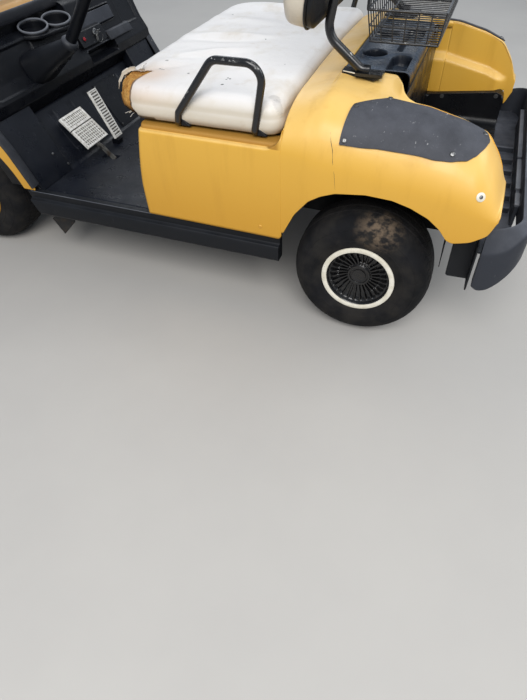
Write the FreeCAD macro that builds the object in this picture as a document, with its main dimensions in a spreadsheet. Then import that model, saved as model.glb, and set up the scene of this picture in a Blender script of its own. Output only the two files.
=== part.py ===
import FreeCAD, Part
import Sketcher
import math
import os

# Two-seat golf cart. +X is forward, +Y is the driver's side, +Z is up, lengths are millimetres.
# The origin is on the ground under the middle of the cart.
# Pieces behind the footwell are placed from the rear axle, those ahead of it from the front axle.

sizes = [
    # name, value, what it is
    ("wheelbase", 1643, "rear axle to front axle"),
    ("rear_overhang", 459, "rear axle to the rear bumper's face"),
    ("front_overhang", 318, "front axle to the front bumper's face"),
    ("tyre_diameter", 457, "over the tread"),
    ("tyre_width", 215, "over the sidewalls"),
    ("rim_diameter", 208, "tyre bead on the rim"),
    ("wheel_cover_diameter", 240, "over the pale trim ring"),
    ("body_half_width", 598, "widest point of the rear body from the centre line"),
    ("rear_tyre_inset", 108, "body's side to the middle plane of a rear tyre"),
    ("front_tyre_inset", 168, "body's side to the middle plane of a front tyre"),
    ("kingpin_inset", 80, "middle plane of a front tyre to its steering pin"),
    ("wall", 5, "moulded panels of the body"),
    ("body_bottom", 325, "lower edge of the rear body above the ground"),
    ("body_front", 767, "rear axle to the front edge of the rear body"),
    ("fender_bottom", 434, "lower edge of the fender behind the wheel"),
    ("fender_width", 178, "body's side to the side of the bag well"),
    ("tail_step", 100, "rear bumper's face to the end of the fender"),
    ("ledge_width", 83, "body's side to the inner edge of the ledge"),
    ("kick_inset", 78, "body's side to the kick panel"),
    ("deck_height", 772, "top of the body behind the seat"),
    ("ledge_drop", 135, "deck down to the top of the side panels, under the seat"),
    ("well_front", 29, "rear axle to the front wall of the bag well behind it"),
    ("well_floor", 400, "top of the bag well's floor"),
    ("tray_inset", 140, "side of the bag well to the bag tray"),
    ("tray_length", 195, "bag tray, front to back"),
    ("guard_thick", 4, "scuff plate on the fender's shoulder"),
    ("front_arch_round", 345, "front wheel arch"),
    ("cowl_step", 18, "the cowl is this much inside the rear body at each side"),
    ("cowl_top", 835, "highest point of the front cowl"),
    ("cowl_bottom", 329, "lower edge of the front cowl"),
    ("nose_step", 38, "front bumper's face to the cowl's nose"),
    ("floor_top", 310, "floor mat above the ground"),
    ("floor_thick", 12, "floor moulding"),
    ("toe_seam", 388, "front axle to the seam of the floor and the toe board behind it"),
    ("sill_step", 10, "the rocker panel is this much inside the body's side"),
    ("sill_thick", 45, "rocker panel across"),
    ("sill_top", 315, "rocker panel, upper edge"),
    ("sill_bottom", 235, "rocker panel, lower edge"),
    ("rail_out", 170, "middle of a frame rail from the centre line"),
    ("rail_width", 50, "frame rail"),
    ("rail_height", 52, "frame rail"),
    ("cushion_inset", 43, "body's side to the side of the seat cushion"),
    ("cushion_front", 865, "rear axle to the front edge of the seat cushion"),
    ("cushion_back", 293, "rear axle to the rear edge of the seat cushion"),
    ("cushion_thick", 82, "seat cushion at its edge"),
    ("cushion_corner", 130, "round of the cushion's front corners in plan"),
    ("board_thick", 18, "board under the seat cushion"),
    ("seat_gap", 9, "rest pads between the board and the ledge"),
    ("loop_tube", 22, "hip loop tube"),
    ("loop_step", 15, "the hip loop is this much outside the cushion's side"),
    ("loop_rise", 206, "top of the side panels to the top bar of the hip loop"),
    ("frame_tube", 25.4, "rear and front post tube"),
    ("post_inset", 70, "side of the bag well to the rear post"),
    ("back_inset", 65, "side of the cushion to the side of the seat back"),
    ("back_height", 335, "seat back along its slope"),
    ("back_rise", 133, "deck to the lowest edge of the seat back"),
    ("back_cushion_thick", 74, "seat back cushion"),
    ("back_shell_thick", 28, "shell behind the seat back cushion"),
    ("roof_height", 1790, "highest point of the roof"),
    ("roof_inset", 38, "the roof is this much inside the body's side"),
    ("roof_front", 192, "front axle to the front edge of the roof behind it"),
    ("roof_back", 39, "rear axle to the rear edge of the roof behind it"),
    ("roof_rim", 62, "depth of the roof's rim"),
    ("roof_wall", 22, "roof moulding"),
    ("basket_inset", 70, "rear post to the side of the basket"),
    ("basket_depth", 222, "basket, front to back"),
    ("basket_rise", 58, "deck to the underside of the basket"),
    ("basket_height", 88, "sides and rear of the basket"),
    ("basket_front_height", 190, "front panel of the basket, which hangs from the posts"),
    ("wire", 5, "basket wire"),
    ("steering_wheel_diameter", 356, "over the rim"),
    ("steering_rim", 26, "section of the steering wheel's rim"),
    ("column_tube", 42, "steering column"),
    ("column_out", 205, "steering column from the centre line"),
    ("column_slope", 52, "steering column from level, in degrees"),
    ("fit_gap", 0.3, "between panels that seat on each other"),
    ("pin_play", 0.05, "running fit of a pin"),
]


class Size:
    # a length that knows its number and the sheet expression that gives it
    def __init__(self, text, number):
        self.text = text
        self.number = float(number)

    def __add__(self, other):
        other = asSize(other)
        return Size(f"({self.text} + {other.text})", self.number + other.number)

    def __sub__(self, other):
        other = asSize(other)
        return Size(f"({self.text} - {other.text})", self.number - other.number)

    def __mul__(self, factor):
        return Size(f"({self.text} * {factor})", self.number * factor)

    def __neg__(self):
        return self * -1

    def __radd__(self, other):
        return asSize(other) + self

    def __rsub__(self, other):
        return asSize(other) - self

    __rmul__ = __mul__


def asSize(value):
    return value if isinstance(value, Size) else Size(f"{float(value)}", value)


doc = FreeCAD.newDocument("GolfCart")
sheet = doc.addObject("Spreadsheet::Sheet", "Sizes")
size = {}
for row, (alias, number, note) in enumerate(sizes, start=1):
    sheet.set(f"A{row}", alias)
    sheet.set(f"B{row}", str(number))
    sheet.set(f"C{row}", note)
    sheet.setAlias(f"B{row}", alias)
    size[alias] = Size(f"Sizes.{alias}", number)
doc.recompute()

# places that follow from the driving dimensions
half_length = (size["rear_overhang"] + size["wheelbase"] + size["front_overhang"]) * 0.5
rear_axle_x = size["rear_overhang"] - half_length
front_axle_x = half_length - size["front_overhang"]
axle_z = size["tyre_diameter"] * 0.5
wall = size["wall"]
gap = size["fit_gap"]
body_out = size["body_half_width"]
rear_wheel_out = body_out - size["rear_tyre_inset"]
front_wheel_out = body_out - size["front_tyre_inset"]
kingpin_out = front_wheel_out - size["kingpin_inset"]
well_out = body_out - size["fender_width"]
tray_out = well_out - size["tray_inset"]
post_out = well_out - size["post_inset"]
cowl_out = body_out - size["cowl_step"]
sill_out = body_out - size["sill_step"]
floor_out = sill_out - size["sill_thick"]
kick_out = body_out - size["kick_inset"]
ledge_out = body_out - size["ledge_width"]
cushion_out = body_out - size["cushion_inset"]
board_out = cushion_out - 15
basket_out = post_out - size["basket_inset"]
back_bottom = size["deck_height"] + size["back_rise"]
loop_out = cushion_out + size["loop_step"]
tail = size["rear_overhang"] - size["tail_step"]
nose = size["front_overhang"] - size["nose_step"]
floor_bottom = size["floor_top"] - size["floor_thick"]
rail_rear_top = floor_bottom + 88
rail_front_top = floor_bottom + 56
seat_ledge = size["deck_height"] - size["ledge_drop"]
board_bottom = seat_ledge + size["seat_gap"]
cushion_bottom = board_bottom + size["board_thick"]
tray_front = size["tray_length"] - size["well_front"]
roof_under = size["roof_height"] - size["roof_wall"]
far = 700
high = 2000
nodes = []


def bind(item, prop, value):
    # sets a property from a size, and ties it to the sheet where the size comes from there
    value = asSize(value)
    if "Sizes." in value.text:
        item.setExpression(prop, value.text)
    else:
        setattr(item, prop, value.number)


def newBody(label):
    body = doc.addObject("PartDesign::Body", label)
    body.Label = label
    return body


def outline(body, role, points, offset=0):
    # closed outline on one of the body's own planes, every corner held by two distances
    sketch = body.newObject("Sketcher::SketchObject", body.Name + "Outline")
    plane = [item for item in body.Origin.OriginFeatures if item.Role == role][0]
    sketch.AttachmentSupport = [(plane, "")]
    sketch.MapMode = "FlatFace"
    offset = asSize(offset)
    sketch.AttachmentOffset = FreeCAD.Placement(
        FreeCAD.Vector(0, 0, offset.number), FreeCAD.Rotation())
    if "Sizes." in offset.text:
        sketch.setExpression("AttachmentOffset.Base.z", offset.text)
    points = [(asSize(a), asSize(b)) for a, b in points]
    corners = [FreeCAD.Vector(a.number, b.number, 0) for a, b in points]
    count = len(corners)
    for i in range(count):
        sketch.addGeometry(Part.LineSegment(corners[i], corners[(i + 1) % count]))
    for i in range(count):
        sketch.addConstraint(Sketcher.Constraint("Coincident", i, 2, (i + 1) % count, 1))
    for i, pair in enumerate(points):
        for kind, value in zip(("DistanceX", "DistanceY"), pair):
            index = sketch.addConstraint(
                Sketcher.Constraint(kind, -1, 1, i, 1, value.number))
            if "Sizes." in value.text:
                sketch.setExpression(f"Constraints[{index}]", value.text)
    return sketch


def pad(body, sketch, length, middle=True, kind="PartDesign::Pad"):
    feature = body.newObject(kind, body.Name + kind.split("::")[1])
    feature.Profile = sketch
    if middle:
        feature.Midplane = True
    bind(feature, "Length", length)
    doc.recompute()
    return feature


def prism(label, role, points, length, offset=0, middle=True):
    body = newBody(label)
    pad(body, outline(body, role, points, offset), length, middle)
    return body


def roundEdges(body, radius, pick):
    # fillets the edges for which pick(middle, direction) holds
    chosen = []
    for number, edge in enumerate(body.Shape.Edges, start=1):
        direction = edge.tangentAt(edge.FirstParameter)
        middle = edge.valueAt((edge.FirstParameter + edge.LastParameter) / 2)
        if pick(middle, direction):
            chosen.append(f"Edge{number}")
    base = body.Tip
    fillet = body.newObject("PartDesign::Fillet", body.Name + "Fillet")
    fillet.Base = (base, chosen)
    bind(fillet, "Radius", radius)
    doc.recompute()
    return fillet


def box(label, low, upper):
    # block between two corners
    item = doc.addObject("Part::Box", label)
    for prop, a, b, place in zip(("Length", "Width", "Height"), low, upper, "xyz"):
        bind(item, prop, asSize(b) - a)
        start = asSize(a)
        base = item.Placement.Base
        setattr(base, place, start.number)
        item.Placement = FreeCAD.Placement(base, item.Placement.Rotation)
        if "Sizes." in start.text:
            item.setExpression(f"Placement.Base.{place}", start.text)
    return item


def node(item):
    # a finished piece: its label is its file's name
    nodes.append(item)
    return item


def shaped(label, shape):
    item = doc.addObject("Part::Feature", label)
    item.Shape = shape
    return item


def plain(value):
    return asSize(value).number


def vector(x, y, z):
    return FreeCAD.Vector(plain(x), plain(y), plain(z))


def placed(shape, x):
    # moves a piece that was drawn from an axle to that axle
    return shape.translated(vector(x, 0, 0))


def bentTube(points, radii, diameter):
    # round tube along straight runs joined by arcs tangent to them
    points = [vector(*p) for p in points]
    edges = []
    start = points[0]
    for i in range(1, len(points) - 1):
        before = (points[i - 1] - points[i]).normalize()
        after = (points[i + 1] - points[i]).normalize()
        angle = before.getAngle(after)
        reach = radii[i - 1] / math.tan(angle / 2)
        first = points[i] + before * reach
        last = points[i] + after * reach
        inward = (before + after).normalize()
        middle = points[i] + inward * (radii[i - 1] / math.sin(angle / 2) - radii[i - 1])
        edges.append(Part.LineSegment(start, first).toShape())
        edges.append(Part.Arc(first, middle, last).toShape())
        start = last
    edges.append(Part.LineSegment(start, points[-1]).toShape())
    path = Part.Wire(edges)
    direction = (points[1] - points[0]).normalize()
    ring = Part.Wire(Part.Circle(points[0], direction, plain(diameter) / 2).toShape())
    return path.makePipeShell([ring], True, True)


def rod(start, end, diameter):
    start, end = vector(*start), vector(*end)
    along = end - start
    return Part.makeCylinder(plain(diameter) / 2, along.Length, start, along)


def block(low, upper):
    low, upper = vector(*low), vector(*upper)
    return Part.makeBox(*(upper - low), low)


def joined(shapes):
    result = shapes[0].fuse(shapes[1:]) if len(shapes) > 1 else shapes[0]
    return result.removeSplitter()


def mirrored(shape):
    return shape.mirror(FreeCAD.Vector(0, 0, 0), FreeCAD.Vector(0, 1, 0))


def sidePrism(points, low_y, high_y):
    # outline in side view, carried across from one side to the other
    corners = [vector(x, low_y, z) for x, z in points]
    face = Part.Face(Part.makePolygon(corners + corners[:1]))
    return face.extrude(FreeCAD.Vector(0, plain(high_y) - plain(low_y), 0))


def planPrism(points, low_z, high_z):
    corners = [vector(x, y, low_z) for x, y in points]
    face = Part.Face(Part.makePolygon(corners + corners[:1]))
    return face.extrude(FreeCAD.Vector(0, 0, plain(high_z) - plain(low_z)))


def largest(shape):
    return max(shape.Solids, key=lambda solid: solid.Volume)


# Rear body: one moulded shell with side panels, wheel arches, fenders and the deck behind the seat

rear_sections = [
    # ahead of the axle, share of the tail behind it, crest below the deck, crest in from the side,
    # start of the side's round below the deck, side in from the widest point
    (767, 0, 136, 36, 166, 12),
    (286, 0, 135, 36, 162, 6),
    (264, 0, 38, 240, 165, 4),
    (203, 0, 20, 205, 172, 1),
    (159, 0, 8, 176, 187, 0),
    (16, 0, 28, 178, 202, 0),
    (0, 0.304, 39, 174, 217, 0),
    (0, 0.582, 64, 174, 232, 0),
    (0, 0.777, 92, 178, 252, 2),
    (0, 0.9025, 150, 178, 267, 8),
    (0, 1, 226, 168, 272, 20),
]
deck_front, deck_rear = 4, 6
arch_line = [
    # along from the axle, up from the axle; every second point of the top is the middle of an arc
    (285, 70), (221, 203), (190, 246), (140, 281), (8, 310), (-150, 281), (-202, 250), (-238, 207), (-262, 70),
]


def alongTail(ahead, share):
    return ahead - share * tail.number


def rearSection(index, inset, low, shift):
    ahead, share, drop, crest_in, round_drop, side_in = rear_sections[index]
    x = alongTail(ahead, share) + shift
    deck = (size["deck_height"] - inset).number
    top = deck - drop
    round_z = size["deck_height"].number - round_drop
    out = (body_out - side_in - inset).number
    crest_y = (body_out - crest_in).number
    middle_z = deck if deck_front <= index < deck_rear else top
    crest = FreeCAD.Vector(x, crest_y, top)
    bulge = FreeCAD.Vector(x, crest_y + 0.72 * (out - crest_y), round_z + 0.72 * (top - round_z))
    half = [FreeCAD.Vector(x, out, low), FreeCAD.Vector(x, out, round_z), bulge, crest,
            FreeCAD.Vector(x, post_out.number, middle_z)]
    flip = [FreeCAD.Vector(p.x, -p.y, p.z) for p in half]
    edges = [
        Part.makeLine(half[0], half[1]), Part.Arc(half[1], half[2], half[3]).toShape(),
        Part.makeLine(half[3], half[4]), Part.makeLine(half[4], flip[4]),
        Part.makeLine(flip[4], flip[3]), Part.Arc(flip[3], flip[2], flip[1]).toShape(),
        Part.makeLine(flip[1], flip[0]), Part.makeLine(flip[0], half[0]),
    ]
    return Part.Wire(edges)


def rearForm(inset, low, first=0, last=0):
    # the body's outside, or with an inset the space inside its wall; the ends may be moved
    count = len(rear_sections)
    shifts = [first] + [0] * (count - 2) + [last]
    return Part.makeLoft([rearSection(i, inset, low, shifts[i]) for i in range(count)], True, True)


def rearArch():
    corners = [vector(x, -far, axle_z + z) for x, z in arch_line]
    edges = [Part.makeLine(corners[0], corners[1])]
    for i in (1, 3, 5):
        edges.append(Part.Arc(corners[i], corners[i + 1], corners[i + 2]).toShape())
    edges += [Part.makeLine(corners[7], corners[8]), Part.makeLine(corners[8], corners[0])]
    return Part.Face(Part.Wire(edges)).extrude(FreeCAD.Vector(0, 2 * far, 0))


lean_start = 420
front_x = size["body_front"]
lean_x = size["body_front"] - 29


def frontLean(inset):
    # what the body's leaning front edge takes away
    return sidePrism([(front_x - inset, lean_start), (lean_x - inset, seat_ledge + 5),
                      (front_x + 50, seat_ledge + 65), (front_x + 50, lean_start)], -far, far)


def makeRearBody():
    skin = wall.number
    bottom = size["body_bottom"].number
    well_x = -size["well_front"]
    back = -size["rear_overhang"] - 50
    outer = rearForm(0, bottom).cut([block((back, -well_out, 0), (well_x, well_out, high)), frontLean(0)])
    space = rearForm(skin, bottom - 100, -skin, skin)
    well_wall = block((back, -well_out - skin, 0), (well_x + skin, well_out + skin, high))
    space = space.cut([well_wall, frontLean(skin)])
    fender = size["fender_bottom"]
    cuts = [
        block((back, -far, 0), (-9, far, fender)),
        rearArch(),
        block((size["cushion_back"] + 18, -ledge_out, seat_ledge - 37),
              (front_x - 36, ledge_out, seat_ledge + 63)),
        block((front_x - 56, -kick_out, size["body_bottom"] - 25),
              (front_x + 24, kick_out, seat_ledge - 18 + gap)),
        block((well_x - 1, -tray_out, size["deck_height"] - 272), (tray_front, tray_out, size["deck_height"] + 28)),
        sidePrism([(90 - tail, fender - 34), (25 - tail, fender + 32), (-2 - tail, fender + 76),
                   (-40 - tail, fender + 76), (-40 - tail, fender - 34)], -far, far),
    ]
    return largest(outer.cut(space).cut(cuts).removeSplitter())


node(shaped("rear_body", placed(makeRearBody(), rear_axle_x)))

guard_plan = [
    # ahead of the axle, share of the tail, in from the body's side
    (111, 0, 8), (99, 0, 118), (51, 0, 150), (0, 0.304, 164), (0, 0.638, 158), (0, 0.777, 136), (0, 0.866, 78),
    (0, 0.855, 38), (0, 0.805, 14), (0, 0.582, 9), (0, 0.137, 6),
]


def makeGuard():
    # scuff plate that lies on the fender's shoulder
    thick = size["guard_thick"].number
    low = (size["deck_height"] - 338).number
    plate = rearForm(-gap.number - thick, low, thick, -thick)
    plate = plate.cut(rearForm(-gap.number, low - 100, 2 * thick, -2 * thick))
    plan = [(alongTail(ahead, share), body_out - in_from) for ahead, share, in_from in guard_plan]
    return largest(plate.common(planPrism(plan, size["deck_height"] - 200, high)))


guard = placed(makeGuard(), rear_axle_x)
node(shaped("guard_left", guard))
node(shaped("guard_right", mirrored(guard)))


# Front cowl: hollow moulding over the front wheels, open behind for the dash and the toe board

cowl_rear_edge = [
    # along from the front axle, down from the cowl's top
    (-334, 363), (-245, 215), (-202, 95), (-170, 30),
]
cowl_shoulder = 110


def cowlForm(inset, back, low):
    # the cowl's outside, or with an inset the space inside its wall, carried back and down
    top = size["cowl_top"] - inset
    out = cowl_out - inset
    tip = nose - inset
    side = [(-392 - back, low)]
    if low < size["cowl_bottom"].number:
        side.append((-392 - back, size["cowl_bottom"]))
    side += [(x - back, size["cowl_top"] - down) for x, down in cowl_rear_edge[:3]]
    side.append((cowl_rear_edge[3][0] - back, top - cowl_rear_edge[3][1]))
    side += [(-127, top), (8, top - 18), (tip - 132 + inset, top - 95), (tip - 44, top - 205), (tip - 7, top - 330),
             (tip, top - 435 + inset), (tip - 20, low)]
    form = sidePrism(side, -out, out)
    half = [(-792, out), (nose - 172, out), (nose - 72, out - 45), (tip - 17, out - 130), (tip, out - 260)]
    plan = planPrism([(x, -y) for x, y in half] + half[::-1], low - 10, top + 10)
    corner = top - cowl_shoulder + 2
    lean = cowl_shoulder * (1 - math.sqrt(0.5))
    left = [vector(-792, out, low - 5), vector(-792, out, corner),
            vector(-792, out - lean, corner + cowl_shoulder - lean),
            vector(-792, out - cowl_shoulder, corner + cowl_shoulder)]
    right = [FreeCAD.Vector(p.x, -p.y, p.z) for p in left]
    edges = [
        Part.makeLine(left[0], left[1]), Part.Arc(left[1], left[2], left[3]).toShape(),
        Part.makeLine(left[3], right[3]), Part.Arc(right[3], right[2], right[1]).toShape(),
        Part.makeLine(right[1], right[0]), Part.makeLine(right[0], left[0]),
    ]
    section = Part.Face(Part.Wire(edges)).extrude(FreeCAD.Vector(1300, 0, 0))
    return form.common([plan]).common([section])


def makeCowl():
    low = size["cowl_bottom"].number
    shell = cowlForm(0, 0, low).cut(cowlForm(wall.number, 200, low - 60))
    arch = Part.makeCylinder(size["front_arch_round"].number, 2 * far, vector(-4, -far, axle_z + 12),
                             FreeCAD.Vector(0, 1, 0))
    return largest(shell.cut([arch]).removeSplitter())


node(shaped("front_cowl", placed(makeCowl(), front_axle_x)))


# Frame: two rails that rise over both axles, cross tubes, and arms out to the rocker panels

bracket_depth = 22
tow_hole = 16
tow_back = 150


def makeChassis():
    low_top = floor_bottom
    tall = size["rail_height"]
    rear, front = rear_axle_x, front_axle_x
    rear_end = 80 - half_length
    front_end = half_length - 125
    tow_x = half_length - tow_back
    points = [
        (rear_end, rail_rear_top), (rear + 191, rail_rear_top), (rear + 296, low_top), (front - 367, low_top),
        (front - 282, rail_front_top), (front_end, rail_front_top),
        (front_end, rail_front_top - tall), (front - 260, rail_front_top - tall), (front - 345, low_top - tall),
        (rear + 274, low_top - tall), (rear + 169, rail_rear_top - tall), (rear_end, rail_rear_top - tall),
    ]
    inner = size["rail_out"] - size["rail_width"] * 0.5
    outer = size["rail_out"] + size["rail_width"] * 0.5
    left = sidePrism(points, inner, outer)
    pieces = [left, mirrored(left)]
    between = inner - gap
    for x, level in ((rear_end + 25, rail_rear_top), (rear + 251, low_top + 30), (tow_x, rail_front_top)):
        pieces.append(block((x - 22, -between, level - tall), (x + 22, between, level)))
    # three arms cross the rails; each is a tube between them and one out to either side
    arm_low = low_top - 40
    for x in (rear + 351, rear + size["body_front"] - 16, front - 482):
        pieces.append(block((x - 20, -between, arm_low), (x + 20, between, low_top)))
        arm = block((x - 20, outer + gap, arm_low), (x + 20, floor_out, low_top))
        pieces += [arm, mirrored(arm)]
    side = floor_out - 43
    under = arm_low - gap
    jack = sidePrism([(front - 351, 162), (front - 391, 96), (front - 457, 161), (front - 502, under),
                      (front - 462, under)], side - 4, side + 4)
    y = size["rail_out"]
    stay = block((front_end + gap, y - 20, rail_front_top - bracket_depth),
                 (half_length - front_bumper_depth - gap, y + 20, rail_front_top))
    rear_stay = block((rear_bumper_depth + gap - half_length, y - 20, rail_rear_top - 14),
                      (rear_end - gap, y + 20, rail_rear_top))
    for piece in (jack, stay, rear_stay):
        pieces += [piece, mirrored(piece)]
    eye = Part.makeCylinder(tow_hole / 2, high, vector(tow_x, 0, 0))
    return Part.makeCompound([piece.cut(eye) for piece in pieces])


front_bumper_depth = 34
rear_bumper_depth = 36
node(shaped("chassis_frame", makeChassis()))


# Rocker panels

def rocker(label, sign):
    under_body = size["body_bottom"] - gap
    back = rear_axle_x + 273
    step = rear_axle_x + size["body_front"] + 1
    points = [(front_axle_x - 344, size["sill_top"]), (step, size["sill_top"]), (step, under_body),
              (back, under_body), (back, size["sill_bottom"]), (front_axle_x - 387, size["sill_bottom"])]
    across = size["sill_thick"] - gap
    return node(prism(label, "XZ_Plane", points, across, (sill_out - across * 0.5) * -sign))


rocker("sill_left", 1)
rocker("sill_right", -1)


# Floor and toe board in one moulding

toe_run, toe_rise = 136, 190
brake_y = size["column_out"] - 2


def makeFloor():
    top = size["floor_top"]
    thick = size["floor_thick"]
    start = rear_axle_x + size["body_front"] + 6
    seam = front_axle_x - size["toe_seam"]
    run = [(start, top), (seam, top), (seam + toe_run, top + toe_rise), (seam + toe_run + 12, top + toe_rise),
           (seam + toe_run + 12, top + toe_rise - 6), (seam + 10, top - thick), (start, top - thick)]
    floor = sidePrism(run, -floor_out, floor_out)
    house = sidePrism([(seam - 49, top), (seam, top), (seam + toe_run - 6, top + toe_rise - 8),
                       (seam + 56, top + toe_rise)], floor_out - 183, floor_out)
    floor = floor.fuse([house, mirrored(house)]).removeSplitter()
    slot = block((seam - 132, brake_y - 17, top - 40), (seam - 64, brake_y + 17, top + 10))
    return floor.cut([slot])


node(shaped("floor_pan", makeFloor()))
kick_top = seat_ledge - 18
kick_face = rear_axle_x + size["body_front"] - 1
node(prism("kick_panel", "XZ_Plane",
           [(kick_face - 10, size["floor_top"]), (kick_face, size["floor_top"]), (kick_face, lean_start),
            (kick_face - 25, kick_top), (kick_face - 35, kick_top), (kick_face - 10, lean_start)],
           2 * (kick_out - gap)))


# Dash: a moulded panel across the cowl, with an open pocket, a ledge and cup holders

dash_face = [
    # along from the front axle, down from the cowl's top
    (-252, 330), (-288, 275), (-286, 250), (-252, 195), (-230, 145), (-196, 57), (-170, 39),
]
dash_back = [(-164, 49), (-185, 63), (-219, 149), (-241, 200), (-274, 251), (-276, 272), (-242, 323)]
column_angle = math.radians(size["column_slope"].number)
column_axis = FreeCAD.Vector(-math.cos(column_angle), 0, math.sin(column_angle))
column_base = vector(front_axle_x - 429, size["column_out"], size["cowl_top"] - 99)


def alongColumn(distance):
    return column_base + column_axis * plain(distance)


def makeDash():
    top = size["cowl_top"]
    panel = sidePrism([(x, top - down) for x, down in dash_face + dash_back], -far, far)
    panel = panel.common(cowlForm((wall + gap).number, 200, size["cowl_bottom"].number - 29))
    left = size["column_out"] - 265
    pocket = block((-292, left - 225, top - 243), (-192, left, top - 195))
    floor = block((-286, left - 232, top - 251), (-202, left + 7, top - 244))
    panel = placed(panel.cut([pocket]).fuse([floor]).removeSplitter(), front_axle_x)
    hole = Part.makeCylinder(size["column_tube"].number / 2 + 1, 400, alongColumn(-260), column_axis)
    return largest(panel.cut([hole]))


node(shaped("dash_panel", makeDash()))


def makeKeyPanel():
    # low box on the face of the dash, beside the column
    low, upper = dash_face[3:5]
    top = size["cowl_top"]
    lift = 2 * gap
    run = [(low[0] - 30, top - low[1] - 9), (upper[0] - 26, top - upper[1] + 2),
           (upper[0] - lift, top - upper[1]), (low[0] - lift, top - low[1])]
    right = size["column_out"] - 261
    return placed(sidePrism(run, right - 180, right), front_axle_x)


node(shaped("key_panel", makeKeyPanel()))


# Steering column and wheel

wheel_distance = 372
hub_depth = 38
shaft_below = 230


def makeColumn():
    reach = shaft_below + wheel_distance - hub_depth - gap
    tube = Part.makeCylinder(size["column_tube"].number / 2, plain(reach), alongColumn(-shaft_below), column_axis)
    boot = Part.makeCone(46, 24, 60, alongColumn(-90), column_axis)
    return joined([tube, boot])


node(shaped("steering_column", makeColumn()))


def makeSteeringWheel():
    tube = size["steering_rim"].number / 2
    ring = size["steering_wheel_diameter"].number / 2 - tube
    pieces = [Part.makeTorus(ring, tube), Part.makeCylinder(42, hub_depth - 4, FreeCAD.Vector(0, 0, -hub_depth))]
    for turn in (90, 210, 330):
        spoke = Part.makeBox(ring, 30, 8, FreeCAD.Vector(0, -15, -12))
        spoke.rotate(FreeCAD.Vector(0, 0, 0), FreeCAD.Vector(0, 0, 1), turn)
        pieces.append(spoke)
    wheel = joined(pieces)
    wheel.Placement = FreeCAD.Placement(
        alongColumn(wheel_distance), FreeCAD.Rotation(FreeCAD.Vector(0, 0, 1), column_axis))
    return wheel


node(shaped("steering_wheel", makeSteeringWheel()))


# Pedals

def plate(centre, normal, along_y, along_slope, thick):
    # flat pad square to its normal, which lies in the side view
    normal = FreeCAD.Vector(*normal).normalize()
    pad_box = Part.makeBox(along_slope, along_y, thick,
                           FreeCAD.Vector(-along_slope / 2, -along_y / 2, -thick))
    pad_box.Placement = FreeCAD.Placement(
        vector(*centre), FreeCAD.Rotation(FreeCAD.Vector(0, 0, 1), normal))
    return pad_box


brake_arm = [
    # along from the front axle, up from the floor
    (-507, -11.5), (-487, -11.5), (-452, 30), (-372, 82), (-294, 132), (-302, 142), (-387, 92), (-467, 48),
]


def makeBrake():
    slope = (-0.54, 0, 0.84)
    floor = size["floor_top"]
    arm = sidePrism([(x, floor + rise) for x, rise in brake_arm], brake_y - 7, brake_y + 7)
    lower = plate((-401, brake_y, floor + 92), slope, 100, 84, 12)
    upper = plate((-323, brake_y, floor + 142), slope, 104, 56, 12)
    return placed(joined([lower, upper, arm]), front_axle_x)


node(shaped("brake_pedal", makeBrake()))
accelerator_y = 73


def makeAccelerator():
    slope = (-0.905, 0, 0.423)
    floor = size["floor_top"]
    y = accelerator_y
    foot = block((-456, y - 21, floor), (-422, y + 21, floor + 26))
    tread = plate((-411, y, floor + 122), slope, 55, 205, 12)
    arm = sidePrism([(-454, floor + 20), (-422, floor + 20), (-392, floor + 90), (-402, floor + 100)], y - 9, y + 9)
    return placed(joined([foot, tread, arm]), front_axle_x)


node(shaped("accelerator_pedal", makeAccelerator()))


# Bag tray, well liner, flaps and bumpers

def makeTray():
    back = -size["well_front"]
    deck = size["deck_height"]
    out = tray_out - gap
    pocket_out = tray_out - 30
    tray = block((back, -out, deck - 72), (tray_front - gap, out, deck - 6))
    pockets = [
        block((back + 22, -pocket_out, deck - 50), (back + 82, pocket_out - 190, deck + 8)),
        block((back + 22, pocket_out - 160, deck - 50), (back + 82, pocket_out, deck + 8)),
    ]
    for y in (110, -110):
        pockets.append(Part.makeCylinder(38, 60, vector(tray_front - 55, y, deck - 50)))
    return placed(tray.cut(pockets), rear_axle_x)


node(shaped("bag_tray", makeTray()))
liner_skin = 8


def makeLiner():
    # tub over the rear axle: narrow between the wheels, flaring out above them
    high_out = well_out - gap
    low_out = well_out - 50
    floor = size["well_floor"]
    skin = liner_skin
    front = -(size["well_front"] + gap)
    back = -(size["rear_overhang"] - rear_bumper_depth - gap)
    knee = floor + 80
    rim = floor + 105
    half = [(low_out, floor - skin), (low_out, knee), (high_out, rim)]
    inside = [(high_out - skin, rim), (low_out - skin, knee), (low_out - skin, floor)]
    run = [(-y, z) for y, z in reversed(half)] + half + inside + [(-y, z) for y, z in reversed(inside)]
    corners = [vector(back, y, z) for y, z in run]
    tub = Part.Face(Part.makePolygon(corners + corners[:1])).extrude(vector(front - back, 0, 0))
    front_wall = block((front - skin, -low_out, floor), (front, low_out, size["deck_height"] - 74))
    slope = sidePrism([(back - 1, floor + 45), (-tail, rim + 1), (back - 1, rim + 1)], -far, far)
    return placed(joined([tub.cut([slope]), front_wall]), rear_axle_x)


node(shaped("well_liner", makeLiner()))


def makeFlap():
    # filler that hangs from the fender's lower edge
    top = size["fender_bottom"] - gap
    rear = 40 - tail
    out = body_out - 74
    hang = sidePrism([(rear + 74, top), (rear + 28, top), (rear, top - 20), (rear - 13, 272), (rear + 50, 267)],
                     out - 8, out)
    flange = sidePrism([(rear + 74, top - 6), (rear + 74, top), (rear + 30, top), (rear + 30, top - 6)],
                       out - 8, body_out - 6)
    return placed(joined([hang, flange]), rear_axle_x)


flap = makeFlap()
node(shaped("flap_left", flap))
node(shaped("flap_right", mirrored(flap)))


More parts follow.
